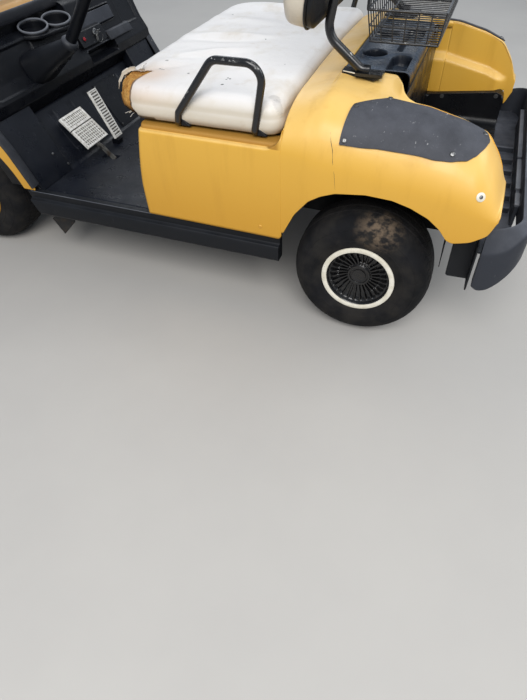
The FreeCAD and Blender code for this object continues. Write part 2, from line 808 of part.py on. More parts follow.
def bumper(reach, side, depth, low, upper, corner, corner_y, arm):
    # plan outline that wraps round both corners; x grows away from the axle
    half = [(reach - arm, side), (reach - corner, side), (reach - 14, corner_y), (reach, corner_y - 90)]
    inner = [(reach - arm, side - depth), (reach - corner - 10, side - depth),
             (reach - 14 - depth, corner_y - depth * 0.6), (reach - depth, corner_y - 110)]
    points = half + [(x, -y) for x, y in reversed(half)] + [(x, -y) for x, y in inner] + inner[::-1]
    return planPrism(points, low, upper)


def makeRearBumper():
    # the horn at each end leans forward and narrows towards its rounded tip
    reach = size["rear_overhang"]
    low, upper = 250, 500
    shape = bumper(reach, body_out - 6, rear_bumper_depth, low, upper, 60, body_out - 78, 118)
    lean = sidePrism([(reach - 48, low - 10), (reach - 44, low), (reach - 18, low + 62), (reach, upper - 70),
                      (reach + 60, upper - 70), (reach + 60, low - 10)], -far, far)
    fender = size["fender_bottom"]
    under_fender = sidePrism([(tail - 30, fender - 6), (tail - 14, fender - 2), (tail + 4, fender + 22),
                              (tail + 9, fender + 76), (tail - 30, fender + 76)], -far, far)
    opening = block((tail - 100, 158 - body_out, 200), (tail + 200, body_out - 158, rail_rear_top - 14))
    shape = shape.cut([opening, under_fender, lean]).mirror(FreeCAD.Vector(0, 0, 0), FreeCAD.Vector(1, 0, 0))
    return largest(placed(shape, rear_axle_x))


node(shaped("rear_bumper", makeRearBumper()))
front_bumper_low, front_bumper_top = 330, 430
front_bumper = bumper(size["front_overhang"], cowl_out - 24, front_bumper_depth, front_bumper_low, front_bumper_top,
                      76, cowl_out - 140, 98)
node(shaped("front_bumper", largest(placed(front_bumper, front_axle_x))))


# Seat: cushion on a board that tips forward, with a hip loop bolted to each end

seat_front = rear_axle_x + size["cushion_front"]
seat_back = rear_axle_x + size["cushion_back"]


def makeCushion():
    body = newBody("seat_cushion")
    points = [(seat_front, cushion_out), (seat_front, -cushion_out), (seat_back, -cushion_out),
              (seat_back, cushion_out)]
    pad(body, outline(body, "XY_Plane", points, cushion_bottom + gap), size["cushion_thick"], False)
    middle = (seat_front + seat_back).number / 2
    roundEdges(body, size["cushion_corner"], lambda p, d: abs(d.z) > 0.9 and p.x > middle)
    roundEdges(body, 28, lambda p, d: abs(d.z) > 0.9 and abs(p.x - seat_back.number) < 1)
    top = (cushion_bottom + gap + size["cushion_thick"]).number
    roundEdges(body, 26, lambda p, d: abs(p.z - top) < 0.01)
    return body


node(makeCushion())


def makeBoard():
    corner = seat_front - size["cushion_corner"] - 8
    half = [(seat_front - 58, cushion_out - 125), (corner, board_out), (seat_back + 6, board_out)]
    board = prism("boardPlate", "XY_Plane", [(x, -y) for x, y in half] + half[::-1],
                  size["board_thick"], board_bottom, False)
    pieces = [board]
    low = seat_ledge + gap
    pad_y = cushion_out - 37
    for i, (x, y) in enumerate(((seat_back + 12, pad_y), (seat_back + 12, -pad_y - 20),
                                (seat_back + 378, pad_y), (seat_back + 378, -pad_y - 20))):
        pieces.append(box(f"restPad{i}", (x, y, low), (x + 30, y + 20, board_bottom + 1)))
    hinge_x = rear_axle_x + size["body_front"] + 2
    for i, y in enumerate((-320, 280)):
        pieces.append(box(f"hingeLeaf{i}", (hinge_x, y, low), (hinge_x + 12, y + 40, board_bottom + 1)))
    item = doc.addObject("Part::MultiFuse", "seat_board")
    item.Shapes = pieces
    doc.recompute()
    return item


node(makeBoard())


def makeLoop():
    out = loop_out
    low = board_bottom + 7
    top = seat_ledge + size["loop_rise"]
    points = [(602, board_out, low), (602, out, low), (596, out, low + 30), (491, out, top), (319, out, top),
              (356, out, low), (356, board_out, low)]
    return placed(bentTube(points, [14, 30, 45, 45, 14], size["loop_tube"]), rear_axle_x)


loop = makeLoop()
node(shaped("hip_loop_left", loop))
node(shaped("hip_loop_right", mirrored(loop)))


# Seat back: cushion on a shell, both leaning back

back_lean = 10
back_x = 321
back_out = cushion_out - size["back_inset"]
back_place = FreeCAD.Placement(vector(rear_axle_x + back_x, 0, back_bottom),
                               FreeCAD.Rotation(FreeCAD.Vector(0, 1, 0), -back_lean))


def backSlab(label, front, thick, out, low, upper, corner, soft):
    # slab of the seat back, drawn upright from its lower front edge and then leaned
    body = newBody(label)
    points = [(out, low), (out, upper), (-out, upper), (-out, low)]
    pad(body, outline(body, "YZ_Plane", points, -asSize(front) - thick), thick, False)
    roundEdges(body, corner, lambda p, d: abs(d.x) > 0.9)
    face = -plain(front)
    roundEdges(body, soft, lambda p, d: abs(p.x - face) < 0.01)
    body.Placement = back_place
    return node(body)


backSlab("back_cushion", 0, size["back_cushion_thick"], back_out, 0, size["back_height"], 70, 22)
backSlab("back_shell", size["back_cushion_thick"] + gap, size["back_shell_thick"], back_out - 4, 4,
         size["back_height"] - 4, 66, 3)


# Posts: a rear frame that carries the seat back, the basket and the roof, and two front posts

basket_front = 121
foot_front = 105
shelf_rise = 100


def makeRearFrame():
    tube = size["frame_tube"]
    out = post_out
    deck = size["deck_height"]
    angle = math.radians(back_lean)
    lean = math.tan(angle)
    depth = size["back_cushion_thick"] + size["back_shell_thick"] + tube * 0.5 + 2 * gap
    line_x = back_x - depth.number / math.cos(angle)
    line_z = back_bottom.number
    knee_z = line_z - 39
    upper_z = line_z + size["back_height"].number + 10
    upper_x = line_x - lean * (upper_z - line_z)
    points = [(foot_front - 26, out, deck + 13), (foot_front, out, deck + 13),
              (line_x - lean * (knee_z - line_z), out, knee_z), (upper_x, out, upper_z),
              (upper_x - 18, out, roof_under + 30)]
    left = bentTube(points, [30, 60, 300], tube)
    foot = block((foot_front - 66, out - 22, deck + gap), (foot_front + 12, out + 22, deck + 8))
    pieces = [left, foot, mirrored(left), mirrored(foot)]
    for rise in (shelf_rise, 270):
        x, z = line_x - lean * rise, line_z + rise
        pieces.append(rod((x, -out, z), (x, out, z), 20))
    hook_x, hook_z = line_x - lean * shelf_rise, line_z + shelf_rise
    hook_out = basket_out - 78
    for y in (-hook_out, hook_out):
        pieces.append(block((basket_front + gap, y - 8, hook_z - 8), (hook_x, y + 8, hook_z + 8)))
    return placed(joined(pieces).common(block((-far, -far, 0), (far, far, roof_under))), rear_axle_x)


node(shaped("rear_frame", makeRearFrame()))


def makeFrontPosts():
    out = cowl_out - 75
    upper_out = out - 20
    top = roof_under
    points = [(-140, out, size["cowl_top"] - 45), (-192, out, size["cowl_top"] + 95),
              (-332, upper_out, top - 128), (-362, upper_out, top + 20)]
    left = bentTube(points, [200, 120], size["frame_tube"])
    bar = rod((-344, -upper_out, top - 68), (-344, upper_out, top - 68), 20)
    posts = joined([left, mirrored(left), bar]).common(block((-far, -far, 0), (far, far, top)))
    return placed(posts.cut([cowlForm(-gap.number, 0, size["cowl_bottom"].number)]), front_axle_x)


node(shaped("front_posts", makeFrontPosts()))


def makeRoof():
    body = newBody("roof")
    out = body_out - size["roof_inset"]
    front = front_axle_x - size["roof_front"]
    back = rear_axle_x - size["roof_back"]
    rim = size["roof_wall"]
    low = size["roof_height"] - size["roof_rim"]
    points = [(front, out), (front, -out), (back, -out), (back, out)]
    pad(body, outline(body, "XY_Plane", points, low), size["roof_rim"], False)
    roundEdges(body, 120, lambda p, d: abs(d.z) > 0.9)
    top = size["roof_height"].number
    roundEdges(body, 30, lambda p, d: abs(p.z - top) < 0.01)
    inner = [(front - rim, out - rim), (front - rim, rim - out), (back + rim, rim - out), (back + rim, out - rim)]
    pocket = pad(body, outline(body, "XY_Plane", inner, low), size["roof_rim"] - rim, False,
                 "PartDesign::Pocket")
    pocket.Reversed = True
    doc.recompute()
    return body


node(makeRoof())


def makeBasket():
    out = basket_out
    back = basket_front - size["basket_depth"]
    low = size["deck_height"] + size["basket_rise"]
    top = low + size["basket_height"]
    wire = size["wire"]
    tray = block((back, -out, low), (basket_front, out, top))
    panel = block((basket_front - wire, -out, low), (basket_front, out, low + size["basket_front_height"]))
    inner = block((back + wire, wire - out, low + wire), (basket_front - wire, out - wire, top + 1))
    return placed(joined([tray.cut(inner), panel]), rear_axle_x)


node(shaped("basket", makeBasket()))


# Engine, axles, knuckles and wheels

engine_rear, engine_front = 51, 421
engine_out = size["rail_out"] + 30
node(box("engine_block", (rear_axle_x + engine_rear, -engine_out, rail_rear_top),
         (rear_axle_x + engine_front, engine_out, seat_ledge - 37)))
post_round = 50


def makeRearAxle():
    z = axle_z
    reach = rear_wheel_out
    pieces = [rod((0, 66 - reach, z), (0, reach - 66, z), 64), rod((0, -reach - 40, z), (0, reach + 40, z), 35),
              block((-90, -80, z - 75), (90, 110, z + 75))]
    for sign in (1, -1):
        y = size["rail_out"] * sign
        pieces.append(rod((0, y, z), (0, y, rail_rear_top - size["rail_height"]), post_round))
    return placed(joined(pieces), rear_axle_x)


node(shaped("rear_axle", makeRearAxle()))
pin_radius = 10
boss_height = 60
spindle = 35


def makeFrontAxle():
    z = axle_z
    out = kingpin_out
    pieces = [block((-20, -out, z - 20), (20, out, z + 20))]
    holes = []
    for sign in (1, -1):
        y = out * sign
        pieces.append(Part.makeCylinder(24, boss_height, vector(0, y, z - boss_height / 2)))
        holes.append(Part.makeCylinder(pin_radius + size["pin_play"].number, 200, vector(0, y, z - 100)))
        y = size["rail_out"] * sign
        pieces.append(rod((0, y, z), (0, y, rail_front_top - size["rail_height"]), post_round))
    return placed(joined(pieces).cut(holes), front_axle_x)


node(shaped("front_axle", makeFrontAxle()))
arm_back, arm_in = 115, 55


def makeKnuckle():
    z = axle_z
    out = kingpin_out
    half = boss_height / 2 + 1
    top = block((-20, out - 20, z + half), (20, out + 42, z + half + 10))
    low = block((-20, out - 20, z - half - 10), (20, out + 42, z - half))
    web = block((-20, out + 28, z - half - 10), (20, out + 42, z + half + 10))
    pin = Part.makeCylinder(pin_radius, 2 * half + 12, vector(0, out, z - half - 6))
    stub = rod((0, out + 30, z), (0, front_wheel_out + 48, z), spindle)
    arm = planPrism([(10, out - 14), (10, out + 14), (-arm_back, out - arm_in + 13),
                     (-arm_back, out - arm_in - 13)], z - half - 10, z - half)
    eye = Part.makeCylinder(13, 10, vector(-arm_back, out - arm_in, z - half - 10))
    return placed(joined([top, low, web, pin, stub, arm, eye]), front_axle_x)


knuckle = makeKnuckle()
node(shaped("knuckle_left", knuckle))
node(shaped("knuckle_right", mirrored(knuckle)))


def makeTieRod():
    y = kingpin_out - arm_in
    z = axle_z - boss_height / 2 - 1 + gap
    eyes = [Part.makeCylinder(12, 14, vector(-arm_back, y * sign, z)) for sign in (1, -1)]
    return placed(joined([rod((-arm_back, -y, z + 7), (-arm_back, y, z + 7), 14)] + eyes), front_axle_x)


node(shaped("tie_rod", makeTieRod()))

tyre_profile = [
    # share of the way from the bead to the tread, share of the half width
    (0, 0.73), (0.07, 0.8), (0.15, 0.87), (0.37, 0.99), (0.55, 1), (0.8, 0.94), (0.95, 0.8), (1, 0.64),
]
wheel_profile = [
    # radius, distance out from the wheel's middle plane
    ("bore", -30), (48, -30), (48, 8), (90, 8), (92, -76), ("rim", -76), ("rim", 79), (106, 95), ("cover", 95),
    ("cover", 98), (106, 99.5), (101, 91), (60, 74), (30, 68), (0, 70), (0, 57), ("bore", 57),
]


def wheelPlace(body, x, y):
    body.Placement = FreeCAD.Placement(vector(x, y, axle_z), body.Placement.Rotation)
    for axis, value in zip("xyz", (x, y, axle_z)):
        body.setExpression(f"Placement.Base.{axis}", asSize(value).text)


def revolve(label, points):
    body = newBody(label)
    sketch = outline(body, "XY_Plane", points)
    turn = body.newObject("PartDesign::Revolution", label + "Turn")
    turn.Profile = sketch
    turn.ReferenceAxis = (sketch, ["V_Axis"])
    turn.Angle = 360
    doc.recompute()
    return body


def makeWheels():
    bead = size["rim_diameter"] * 0.5
    rise = size["tyre_diameter"] * 0.5 - bead
    half = size["tyre_width"] * 0.5
    radii = {"bore": spindle / 2 + 0.5, "rim": bead - gap, "cover": size["wheel_cover_diameter"] * 0.5}
    corners = (("rl", rear_axle_x, rear_wheel_out, 1), ("rr", rear_axle_x, rear_wheel_out, -1),
               ("fl", front_axle_x, front_wheel_out, 1), ("fr", front_axle_x, front_wheel_out, -1))
    for name, x, out, sign in corners:
        side = [(bead + rise * share, half * width) for share, width in tyre_profile]
        tyre = revolve(f"tyre_{name}", side + [(radius, -width) for radius, width in reversed(side)])
        points = [(radii.get(radius, radius), asSize(distance) * sign) for radius, distance in wheel_profile]
        wheel = revolve(f"wheel_{name}", points)
        for body in (tyre, wheel):
            wheelPlace(body, x, out * sign)
            node(body)


makeWheels()
doc.recompute()

faults = [item.Label for item in doc.Objects if "Invalid" in item.State or "Error" in item.State]
faults += [item.Label for item in nodes if item.Shape.isNull() or not item.Shape.isValid()]
if faults:
    raise ValueError(f"these did not build: {faults}")
os.makedirs("parts", exist_ok=True)
for item in nodes:
    item.Shape.exportStep(f"parts/{item.Label}.step")
    print(item.Label, len(item.Shape.Solids), round(item.Shape.Volume / 1e6, 3))
print(len(nodes), "pieces")
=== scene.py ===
import math

import bmesh
import bpy
import numpy as np
from mathutils import Matrix, Vector


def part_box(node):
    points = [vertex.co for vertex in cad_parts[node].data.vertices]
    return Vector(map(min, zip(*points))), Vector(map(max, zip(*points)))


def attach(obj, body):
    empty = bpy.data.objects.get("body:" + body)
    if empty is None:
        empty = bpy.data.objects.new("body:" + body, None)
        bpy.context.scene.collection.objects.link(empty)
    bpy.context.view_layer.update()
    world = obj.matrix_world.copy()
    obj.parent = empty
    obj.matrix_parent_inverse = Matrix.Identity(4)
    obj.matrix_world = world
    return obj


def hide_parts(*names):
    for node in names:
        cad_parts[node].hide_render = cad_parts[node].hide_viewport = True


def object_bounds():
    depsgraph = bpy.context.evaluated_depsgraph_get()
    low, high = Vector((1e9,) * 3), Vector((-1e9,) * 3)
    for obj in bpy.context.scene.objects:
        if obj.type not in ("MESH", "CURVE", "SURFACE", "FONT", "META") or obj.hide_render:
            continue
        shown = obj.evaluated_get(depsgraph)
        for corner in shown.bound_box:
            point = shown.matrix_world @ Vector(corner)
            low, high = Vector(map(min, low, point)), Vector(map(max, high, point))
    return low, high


# Golf cart with a faded yellow body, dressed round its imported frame.
# Metres: +X is forward, +Y is the driver's side, +Z is up.

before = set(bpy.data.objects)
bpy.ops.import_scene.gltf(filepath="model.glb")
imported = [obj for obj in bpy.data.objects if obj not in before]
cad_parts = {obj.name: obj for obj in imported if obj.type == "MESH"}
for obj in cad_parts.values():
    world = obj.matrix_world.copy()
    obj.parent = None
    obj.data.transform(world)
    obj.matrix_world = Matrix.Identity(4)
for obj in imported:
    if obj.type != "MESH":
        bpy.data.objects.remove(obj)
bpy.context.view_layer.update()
print("frame loaded")


# Shapes: each part is an array of points and a list of faces

def gridPart(points, wrapRows=False, wrapColumns=False, flip=False, slot=0):
    # surface of two parameters: points is rows x columns x 3, and quads join neighbours
    rows, columns = points.shape[:2]
    r = np.arange(rows if wrapRows else rows - 1)[:, None]
    c = np.arange(columns if wrapColumns else columns - 1)[None, :]
    r2, c2 = (r + 1) % rows, (c + 1) % columns
    corners = (r * columns + c, r2 * columns + c, r2 * columns + c2, r * columns + c2)
    quads = np.stack(np.broadcast_arrays(*corners), -1).reshape(-1, 4)
    if flip:
        quads = quads[:, ::-1]
    return points.reshape(-1, 3), quads.tolist(), slot


def withCaps(part, rows, columns):
    # closes the first and last ring of a tube-like grid with a fan round its middle
    points, faces, slot = part
    first, last = points[:columns].mean(0), points[-columns:].mean(0)
    c = np.arange(columns)
    c2 = (c + 1) % columns
    count = len(points)
    start = np.stack([np.full(columns, count), c, c2], -1)
    base = (rows - 1) * columns
    end = np.stack([np.full(columns, count + 1), base + c2, base + c], -1)
    return np.vstack([points, first, last]), faces + start.tolist() + end.tolist(), slot


def unit(vectors):
    return vectors / np.linalg.norm(vectors, axis=-1, keepdims=True)


def tubePart(path, radius, sides=14, closed=False, reference=(0, 1, 0), slot=0, flat=1):
    # circle carried along a path, square to the path's direction; flat squeezes it across
    path = np.asarray(path, float)
    if closed:
        along = unit(np.roll(path, -1, 0) - np.roll(path, 1, 0))
    else:
        along = unit(np.gradient(path, axis=0))
    side = unit(np.cross(along, reference))
    upper = np.cross(side, along)
    angle = np.linspace(0, 2 * np.pi, sides, endpoint=False)[None, :, None]
    radius = np.broadcast_to(np.asarray(radius, float), len(path))[:, None, None]
    ring = np.cos(angle) * side[:, None] + flat * np.sin(angle) * upper[:, None]
    part = gridPart(path[:, None] + ring * radius, closed, True, slot=slot)
    return part if closed else withCaps(part, len(path), sides)


def bendPath(corners, radii, arcPoints=9):
    # straight runs joined by arcs tangent to them
    corners = np.asarray(corners, float)
    path = [corners[:1]]
    share = np.linspace(0, 1, arcPoints)[:, None]
    for before, corner, after, radius in zip(corners, corners[1:], corners[2:], radii):
        a, b = unit(before - corner), unit(after - corner)
        half = math.acos(a @ b) / 2
        centre = corner + unit(a + b) * radius / math.sin(half)
        start = corner + a * radius / math.tan(half) - centre
        end = corner + b * radius / math.tan(half) - centre
        sweep = math.pi - 2 * half
        turn = np.sin((1 - share) * sweep) * start + np.sin(share * sweep) * end
        path.append(centre + turn / math.sin(sweep))
    path.append(corners[-1:])
    return np.vstack(path)


def lathePart(profile, centre, sides=48, axis="y", sign=1, slot=0):
    # profile of (radius, distance along the axis) turned round the axis
    profile = np.asarray(profile, float)
    angle = np.linspace(0, 2 * np.pi, sides, endpoint=False)
    radius, along = profile[:, :1], np.broadcast_to(profile[:, 1:] * sign, (len(profile), sides))
    a, b = radius * np.cos(angle), radius * np.sin(angle)
    order = {"x": (along, a, b), "y": (a, along, b), "z": (a, b, along)}[axis]
    points = np.stack(order, -1) + np.asarray(centre)
    return withCaps(gridPart(points, False, True, slot=slot), len(profile), sides)


def boxPart(low, high, slot=0):
    # block between two corners
    (x0, y0, z0), (x1, y1, z1) = low, high
    points = [(x, y, z) for x in (x0, x1) for y in (y0, y1) for z in (z0, z1)]
    faces = [[0, 1, 3, 2], [4, 6, 7, 5], [0, 4, 5, 1], [2, 3, 7, 6], [0, 2, 6, 4], [1, 5, 7, 3]]
    return np.array(points, float), faces, slot


def prismPart(outline, low, high, along="y", slot=0):
    # outline carried straight along an axis and closed at both ends
    outline = np.asarray(outline, float)
    count = len(outline)
    place = {"x": (2, 0, 1), "y": (0, 2, 1), "z": (0, 1, 2)}[along]
    flat = [np.column_stack([outline, np.full(count, value)]) for value in (low, high)]
    points = np.vstack(flat)[:, place]
    ring = np.arange(count)
    following = (ring + 1) % count
    sides = np.stack([ring, following, following + count, ring + count], -1).tolist()
    return points, sides + [ring[::-1].tolist(), (ring + count).tolist()], slot


def turned(part, centre, matrix):
    # the part moved from the origin to a place, turned by a 3 x 3 matrix
    points, faces, slot = part
    return points @ np.asarray(matrix).T + np.asarray(centre), faces, slot


def mirrored(part):
    points, faces, slot = part
    return points * (1, -1, 1), [face[::-1] for face in faces], slot


def bothSides(parts):
    return parts + [mirrored(part) for part in parts]


def smoothStep(value, low, high):
    share = np.clip((value - low) / (high - low), 0, 1)
    return share * share * (3 - 2 * share)


def eased(value, places, heights, spread):
    # broken line through the table, its corners rounded by averaging over the spread
    shifts = np.linspace(-spread, spread, 9)
    value = np.asarray(value, float)
    return sum(np.interp(value + shift, places, heights) for shift in shifts) / len(shifts)


def makePiece(name, parts, materials, body, stands=(), angle=38, recalculate=True,
              wall=0.0, bevel=0.0, subdivide=0, marks=None):
    # one mesh object from its parts, riding on a body of the frame
    mesh = bpy.data.meshes.new(name)
    points, faces, slots, start = [], [], [], 0
    for partPoints, partFaces, partSlot in parts:
        points.append(partPoints)
        faces += [[corner + start for corner in face] for face in partFaces]
        slots += [partSlot] * len(partFaces)
        start += len(partPoints)
    mesh.from_pydata(np.vstack(points).tolist(), [], faces)
    mesh.polygons.foreach_set("material_index", slots)
    for markName, values in (marks or {}).items():
        layer = mesh.attributes.new(markName, "FLOAT", "POINT")
        layer.data.foreach_set("value", np.asarray(values, np.float32).ravel())
    for material in materials if isinstance(materials, (list, tuple)) else [materials]:
        mesh.materials.append(material)
    grid = bmesh.new()
    grid.from_mesh(mesh)
    bmesh.ops.remove_doubles(grid, verts=grid.verts, dist=2e-5)
    if recalculate:
        bmesh.ops.recalc_face_normals(grid, faces=grid.faces)
    grid.to_mesh(mesh)
    grid.free()
    mesh.polygons.foreach_set("use_smooth", [True] * len(mesh.polygons))
    mesh.set_sharp_from_angle(angle=math.radians(angle))
    mesh.update()
    piece = bpy.data.objects.new(name, mesh)
    bpy.context.scene.collection.objects.link(piece)
    if wall:
        shell = piece.modifiers.new("wall", "SOLIDIFY")
        shell.thickness = abs(wall)
        shell.offset = -1 if wall > 0 else 1
        shell.use_quality_normals = True
    if bevel:
        edge = piece.modifiers.new("edges", "BEVEL")
        edge.width = bevel
        edge.segments = 3
        edge.limit_method = "ANGLE"
        edge.angle_limit = math.radians(32)
    if subdivide:
        finer = piece.modifiers.new("finer", "SUBSURF")
        finer.levels = finer.render_levels = subdivide
    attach(piece, body)
    if stands:
        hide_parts(*stands)
    return piece


# Materials: colours are sRGB hex, patterns are sized in millimetres

def linear(colour):
    # sRGB hex to linear light
    values = [int(colour[i:i + 2], 16) / 255 for i in (0, 2, 4)]
    return [v / 12.92 if v <= 0.04045 else ((v + 0.055) / 1.055) ** 2.4 for v in values] + [1]


def addNode(tree, kind, links, **settings):
    # one node with its settings; links gives each input a number, a colour or another node's output
    node = tree.nodes.new(kind)
    for key, value in settings.items():
        setattr(node, key, value)
    for key, value in links.items():
        if isinstance(value, bpy.types.NodeSocket):
            tree.links.new(value, node.inputs[key])
        else:
            node.inputs[key].default_value = value
    return node


def startMaterial(name, roughness, ior=1.46, metallic=0.0, coat=0.0, specular=0.5):
    material = bpy.data.materials.new(name)
    material.use_nodes = True
    tree = material.node_tree
    shader = tree.nodes["Principled BSDF"]
    shader.inputs["Roughness"].default_value = roughness
    shader.inputs["IOR"].default_value = ior
    shader.inputs["Metallic"].default_value = metallic
    shader.inputs["Coat Weight"].default_value = coat
    shader.inputs["Specular IOR Level"].default_value = specular
    place = addNode(tree, "ShaderNodeTexCoord", {}).outputs["Object"]
    return material, tree, shader, place


def blotches(tree, place, span, level, softness, stretch=(1, 1, 1), detail=5, shift=0.0):
    # mask of patches about span millimetres across; a higher level leaves fewer of them
    scale = [1000 / span * s for s in stretch]
    mapped = addNode(tree, "ShaderNodeMapping", {"Vector": place, "Scale": scale,
                                                 "Location": (shift, shift * 0.7, -shift)})
    cloud = addNode(tree, "ShaderNodeTexNoise", {"Vector": mapped.outputs[0], "Scale": 1.0,
                                                 "Detail": detail, "Roughness": 0.6})
    mask = addNode(tree, "ShaderNodeMapRange", {"Value": cloud.outputs[0], 1: level - softness,
                                                2: level + softness}, interpolation_type="SMOOTHSTEP")
    return mask.outputs[0]


def bySlope(tree, axis, low, high):
    # mask from how far the surface faces along an axis: 0 below low, 1 above high
    facing = addNode(tree, "ShaderNodeNewGeometry", {}).outputs["Normal"]
    part = addNode(tree, "ShaderNodeSeparateXYZ", {0: facing}).outputs[axis]
    return addNode(tree, "ShaderNodeMapRange", {"Value": part, 1: low, 2: high}).outputs[0]


def byPlace(tree, place, axis, low, high):
    # mask from the place along an axis in metres: 0 at low, 1 at high
    part = addNode(tree, "ShaderNodeSeparateXYZ", {0: place}).outputs[axis]
    return addNode(tree, "ShaderNodeMapRange", {"Value": part, 1: low, 2: high},
                   interpolation_type="SMOOTHSTEP").outputs[0]


def times(tree, a, b):
    return addNode(tree, "ShaderNodeMath", {0: a, 1: b}, operation="MULTIPLY").outputs[0]


def coated(tree, mask, under, over):
    # one colour over another where the mask is white
    links = {0: mask, 6: under, 7: over}
    return addNode(tree, "ShaderNodeMix", links, data_type="RGBA").outputs[2]


def finishMaterial(tree, shader, colour, roughness=None, height=None, depth=0.0005, strength=0.5,
                   second=None, secondDepth=0.0005, secondStrength=0.5):
    tree.links.new(colour, shader.inputs["Base Color"])
    if roughness is not None:
        tree.links.new(roughness, shader.inputs["Roughness"])
    if height is not None:
        bump = addNode(tree, "ShaderNodeBump", {"Height": height, "Distance": depth, "Strength": strength})
        if second is not None:
            finer = addNode(tree, "ShaderNodeBump", {"Height": second, "Distance": secondDepth,
                                                     "Strength": secondStrength, "Normal": bump.outputs[0]})
            bump = finer
        tree.links.new(bump.outputs[0], shader.inputs["Normal"])


def ranged(tree, mask, low, high):
    # mask turned into a range of values, such as roughness
    return addNode(tree, "ShaderNodeMapRange", {"Value": mask, 3: low, 4: high}).outputs[0]


def fadedYellowPlastic():
    # moulded thermoplastic, faded by years of sun: paler on upward faces, partly chalky bloom and partly painted
    # highlight, deeper colour low down as painted shade, faint streaks and specks of dirt, a soft broad gloss
    material, tree, shader, place = startMaterial("fadedYellowPlastic", 0.42, 1.5, coat=0.06)
    deep, fair, pale = linear("cf982c"), linear("e0ae44"), linear("efc778")
    # deeper yellow low down: painted shade
    height = byPlace(tree, place, 2, 0.30, 0.70)
    colour = coated(tree, height, deep, fair)
    # paler on upward faces: partly chalky sun bloom, partly painted highlight
    bloomAndHighlight = times(tree, bySlope(tree, 2, 0.1, 0.95), ranged(tree, blotches(tree, place, 240, 0.5, 0.25), 0.55, 1))
    colour = coated(tree, bloomAndHighlight, colour, pale)
    streaks = times(tree, blotches(tree, place, 60, 0.62, 0.12, (1, 1, 0.16), shift=3), ranged(tree, height, 0.12, 0.3))
    colour = coated(tree, streaks, colour, linear("b98428"))
    specks = times(tree, blotches(tree, place, 5, 0.73, 0.02, shift=9), blotches(tree, place, 90, 0.55, 0.1, shift=5))
    colour = coated(tree, specks, colour, linear("8a6526"))
    # set-in band under the seat: painted shade from the seat's overhang, with a deeper, less faded orange there
    band = times(tree, byPlace(tree, place, 0, -0.490, -0.470), byPlace(tree, place, 2, 0.6288, 0.6305))
    colour = coated(tree, times(tree, band, 0.8), colour, linear("9c6a1c"))
    rough = ranged(tree, blotches(tree, place, 130, 0.5, 0.2, shift=2), 0.34, 0.52)
    finishMaterial(tree, shader, colour, rough, blotches(tree, place, 1.6, 0.5, 0.4, detail=2), 0.00012, 0.35,
                   blotches(tree, place, 160, 0.5, 0.5, detail=2), 0.0012, 0.5)
    return material


def grainedBlackPlastic(name="grainedBlackPlastic", colourHex="1b1c20", dustAndSheenHex="54534f", gloss=0.42, dust=0.3):
    # black polypropylene with a fine moulded grain; dust lies on what faces up and it has turned a little grey; where
    # that upper colour is bluish, as on the tray and the floor mat, it is painted sky reflection
    material, tree, shader, place = startMaterial(name, gloss, 1.49, specular=0.28)
    # colour on upward faces: dust, and painted sky reflection where it is bluish
    dustAndSheen = times(tree, bySlope(tree, 2, 0.2, 0.95), ranged(tree, blotches(tree, place, 110, 0.5, 0.22), 0.15, 1))
    dustAndSheen = times(tree, dustAndSheen, dust)
    colour = coated(tree, dustAndSheen, linear(colourHex), linear(dustAndSheenHex))
    scuffs = times(tree, blotches(tree, place, 9, 0.68, 0.03, (1, 1, 0.25), shift=4),
                   blotches(tree, place, 80, 0.58, 0.08, shift=7))
    colour = coated(tree, times(tree, scuffs, 0.5), colour, linear("77767a"))
    rough = ranged(tree, blotches(tree, place, 70, 0.5, 0.2, shift=1), gloss - 0.1, gloss + 0.14)
    finishMaterial(tree, shader, colour, rough, blotches(tree, place, 1.5, 0.5, 0.3, detail=3), 0.0004, 0.45)
    return material


def scuffedGuardPlastic():
    # grained plate faded by the sun, its blue-grey on upward faces partly sun bleaching and partly painted sky sheen,
    # with pale scuffs where bags rub it
    material, tree, shader, place = startMaterial("scuffedGuardPlastic", 0.62, 1.48)
    colour = coated(tree, blotches(tree, place, 60, 0.5, 0.25), linear("303238"), linear("3f4148"))
    # lighter blue-grey on upward faces: partly sun bleaching, partly painted sky sheen
    fadeAndSheen = times(tree, bySlope(tree, 2, 0.3, 0.95), blotches(tree, place, 120, 0.5, 0.2, shift=4))
    colour = coated(tree, times(tree, fadeAndSheen, 0.6), colour, linear("5a5c64"))
    rubbed = times(tree, blotches(tree, place, 7, 0.66, 0.04, (1, 0.4, 1), shift=6),
                   blotches(tree, place, 45, 0.6, 0.07, shift=2))
    colour = coated(tree, rubbed, colour, linear("b9b8b8"))
    finishMaterial(tree, shader, colour, None, blotches(tree, place, 2.2, 0.5, 0.25, detail=4), 0.0007, 0.7)
    return material


def spot(tree, place, centre, size, share):
    # round mark in plan round a centre, with a slightly uneven edge
    uneven = addNode(tree, "ShaderNodeTexNoise", {"Vector": place, "Scale": 260.0, "Detail": 2.0}).outputs[0]
    flat = addNode(tree, "ShaderNodeMapping", {"Vector": place, "Scale": (1, 1, 0)}).outputs[0]
    away = addNode(tree, "ShaderNodeVectorMath", {0: flat, 1: (*centre, 0)}, operation="DISTANCE").outputs["Value"]
    away = addNode(tree, "ShaderNodeMath", {0: times(tree, uneven, size), 1: away}, operation="ADD").outputs[0]
    mask = addNode(tree, "ShaderNodeMapRange", {"Value": away, 1: size * 1.75, 2: size * 1.35}).outputs[0]
    return times(tree, mask, share)


